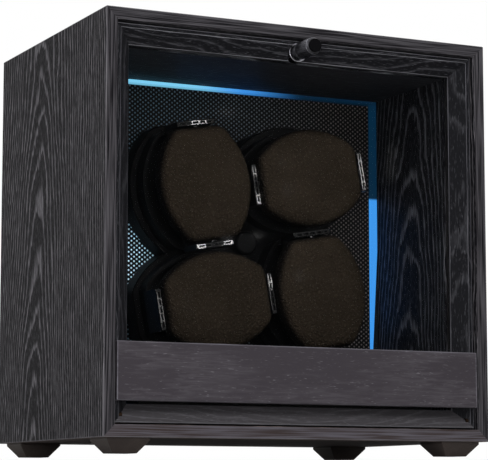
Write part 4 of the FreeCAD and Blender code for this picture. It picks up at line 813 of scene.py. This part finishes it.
# Lamps
# Soft panels high in front, on the left and low in front, and two faint blue ones that stand for the
# strips' light on the ceiling and the right wall. Each has a place, width, height and watts; the panels
# face the object's middle, and the blue ones a place of their own, given second.
STUDIO_LAMPS = {
    "key": ((-0.35, -1.5, 1.35), 1.3, 0.9, 17.0),
    "side": ((-1.7, -0.3, 0.7), 1.0, 1.0, 5.0),
    "low": ((-0.5, -1.2, 0.09), 0.9, 0.12, 3.5),
}
STRIP_LAMPS = {
    "top_strip_glow": ((-0.012, 0.014, 0.230), (-0.012, -0.02, 0.26), 0.06, 0.002, 0.0013),
    "side_strip_glow": ((0.100, 0.014, 0.125), (0.15, -0.04, 0.125), 0.002, 0.08, 0.003),
}
STRIP_LIGHT = "#2f8fe8"


def soft_lamp(name, place, target, width, height, watts, tone="#ffffff", in_view=True):
    """A rectangular lamp that faces a target."""
    lamp = bpy.data.lights.new(name, "AREA")
    lamp.shape = "RECTANGLE"
    lamp.size = width
    lamp.size_y = height
    lamp.energy = watts
    lamp.color = linear(tone)[:3]
    lamp_object = bpy.data.objects.new(name, lamp)
    lamp_object.location = place
    lamp_object.rotation_euler = (Vector(target) - Vector(place)).to_track_quat("-Z", "Y").to_euler()
    lamp_object.visible_camera = in_view
    bpy.context.scene.collection.objects.link(lamp_object)


middle = (cad_box[0] + cad_box[1]) / 2
for name, (spot, width, height, watts) in STUDIO_LAMPS.items():
    soft_lamp(name, spot, middle, width, height, watts)
for name, (spot, target, width, height, watts) in STRIP_LAMPS.items():
    soft_lamp(name, spot, target, width, height, watts, STRIP_LIGHT, in_view=False)

# Surround
# A white studio all round. The camera sees it white, also in reflections and through the pane, and it
# gives only a dim even light.
SURROUND_LIGHT = 0.32
world = bpy.data.worlds.new("white_surround")
bpy.context.scene.world = world
world.use_nodes = True
tree = world.node_tree
tree.nodes.clear()
seen, mirrored = viewing(tree)
seen = add(tree, "ShaderNodeMath", {0: seen, 1: mirrored}, operation="MAXIMUM")
level = add(tree, "ShaderNodeMapRange", {"Value": seen, "To Min": SURROUND_LIGHT, "To Max": 1.0})
shader = add(tree, "ShaderNodeBackground", {"Color": linear("#ffffff"), "Strength": level})
add(tree, "ShaderNodeOutputWorld", {"Surface": shader})

# Camera
# A long lens a little below the table top, turned to the right and tilted up, so that the front and the
# left side show. Its place was solved from the corners of the cabinet.
FOCAL_PIXELS = 2066.8
IMAGE_WIDTH = 488
SENSOR_MM = 36.0
TURN_RIGHT = 0.4530
TILT_UP = 0.1276
CAMERA_PLACE = (-0.5761, -1.1829, -0.0240)
camera_data = bpy.data.cameras.new("camera")
camera_data.sensor_width = SENSOR_MM
camera_data.lens = FOCAL_PIXELS * SENSOR_MM / IMAGE_WIDTH
camera = bpy.data.objects.new("camera", camera_data)
camera.location = CAMERA_PLACE
camera.rotation_euler = (math.pi / 2 + TILT_UP, 0.0, -TURN_RIGHT)
bpy.context.scene.collection.objects.link(camera)
bpy.context.scene.camera = camera
bpy.context.scene.view_settings.view_transform = "Standard"

# Reflectors
# Small bright cards beside the camera, each placed where the polished rails of a cushion's cuff mirror it
# to the camera as a short glint. Each has the glint's x, z, width and height, and the card's radiance.
RAIL_GLINTS_MM = {
    "upper_left_head": (-45.0, 206.6, 10.0, 3.0, 45.0),
    "upper_left_heel": (-44.0, 128.9, 6.0, 3.0, 70.0),
    "upper_left_toe": (-24.4, 132.3, 6.0, 3.0, 70.0),
    "upper_right_low": (-3.8, 161.3, 3.0, 7.0, 45.0),
    "upper_right_high": (-6.8, 178.0, 3.0, 5.0, 30.0),
    "upper_right_end": (70.4, 183.5, 6.0, 22.0, 25.0),
    "lower_left_end": (4.2, 108.7, 3.0, 7.0, 45.0),
    "lower_left_head": (-70.4, 88.5, 6.0, 16.0, 8.0),
}
for name, (x, z, glint_width, glint_height, radiance) in RAIL_GLINTS_MM.items():
    spot = Vector((x * MM, rails_front, z * MM))
    card = Vector((2 * spot.x - camera.location.x, camera.location.y, 2 * spot.z - camera.location.z))
    width = 2 * glint_width * MM
    height = 2 * glint_height * MM
    soft_lamp(name + "_card", card, spot, width, height, radiance * math.pi * width * height, in_view=False)

bpy.context.view_layer.update()
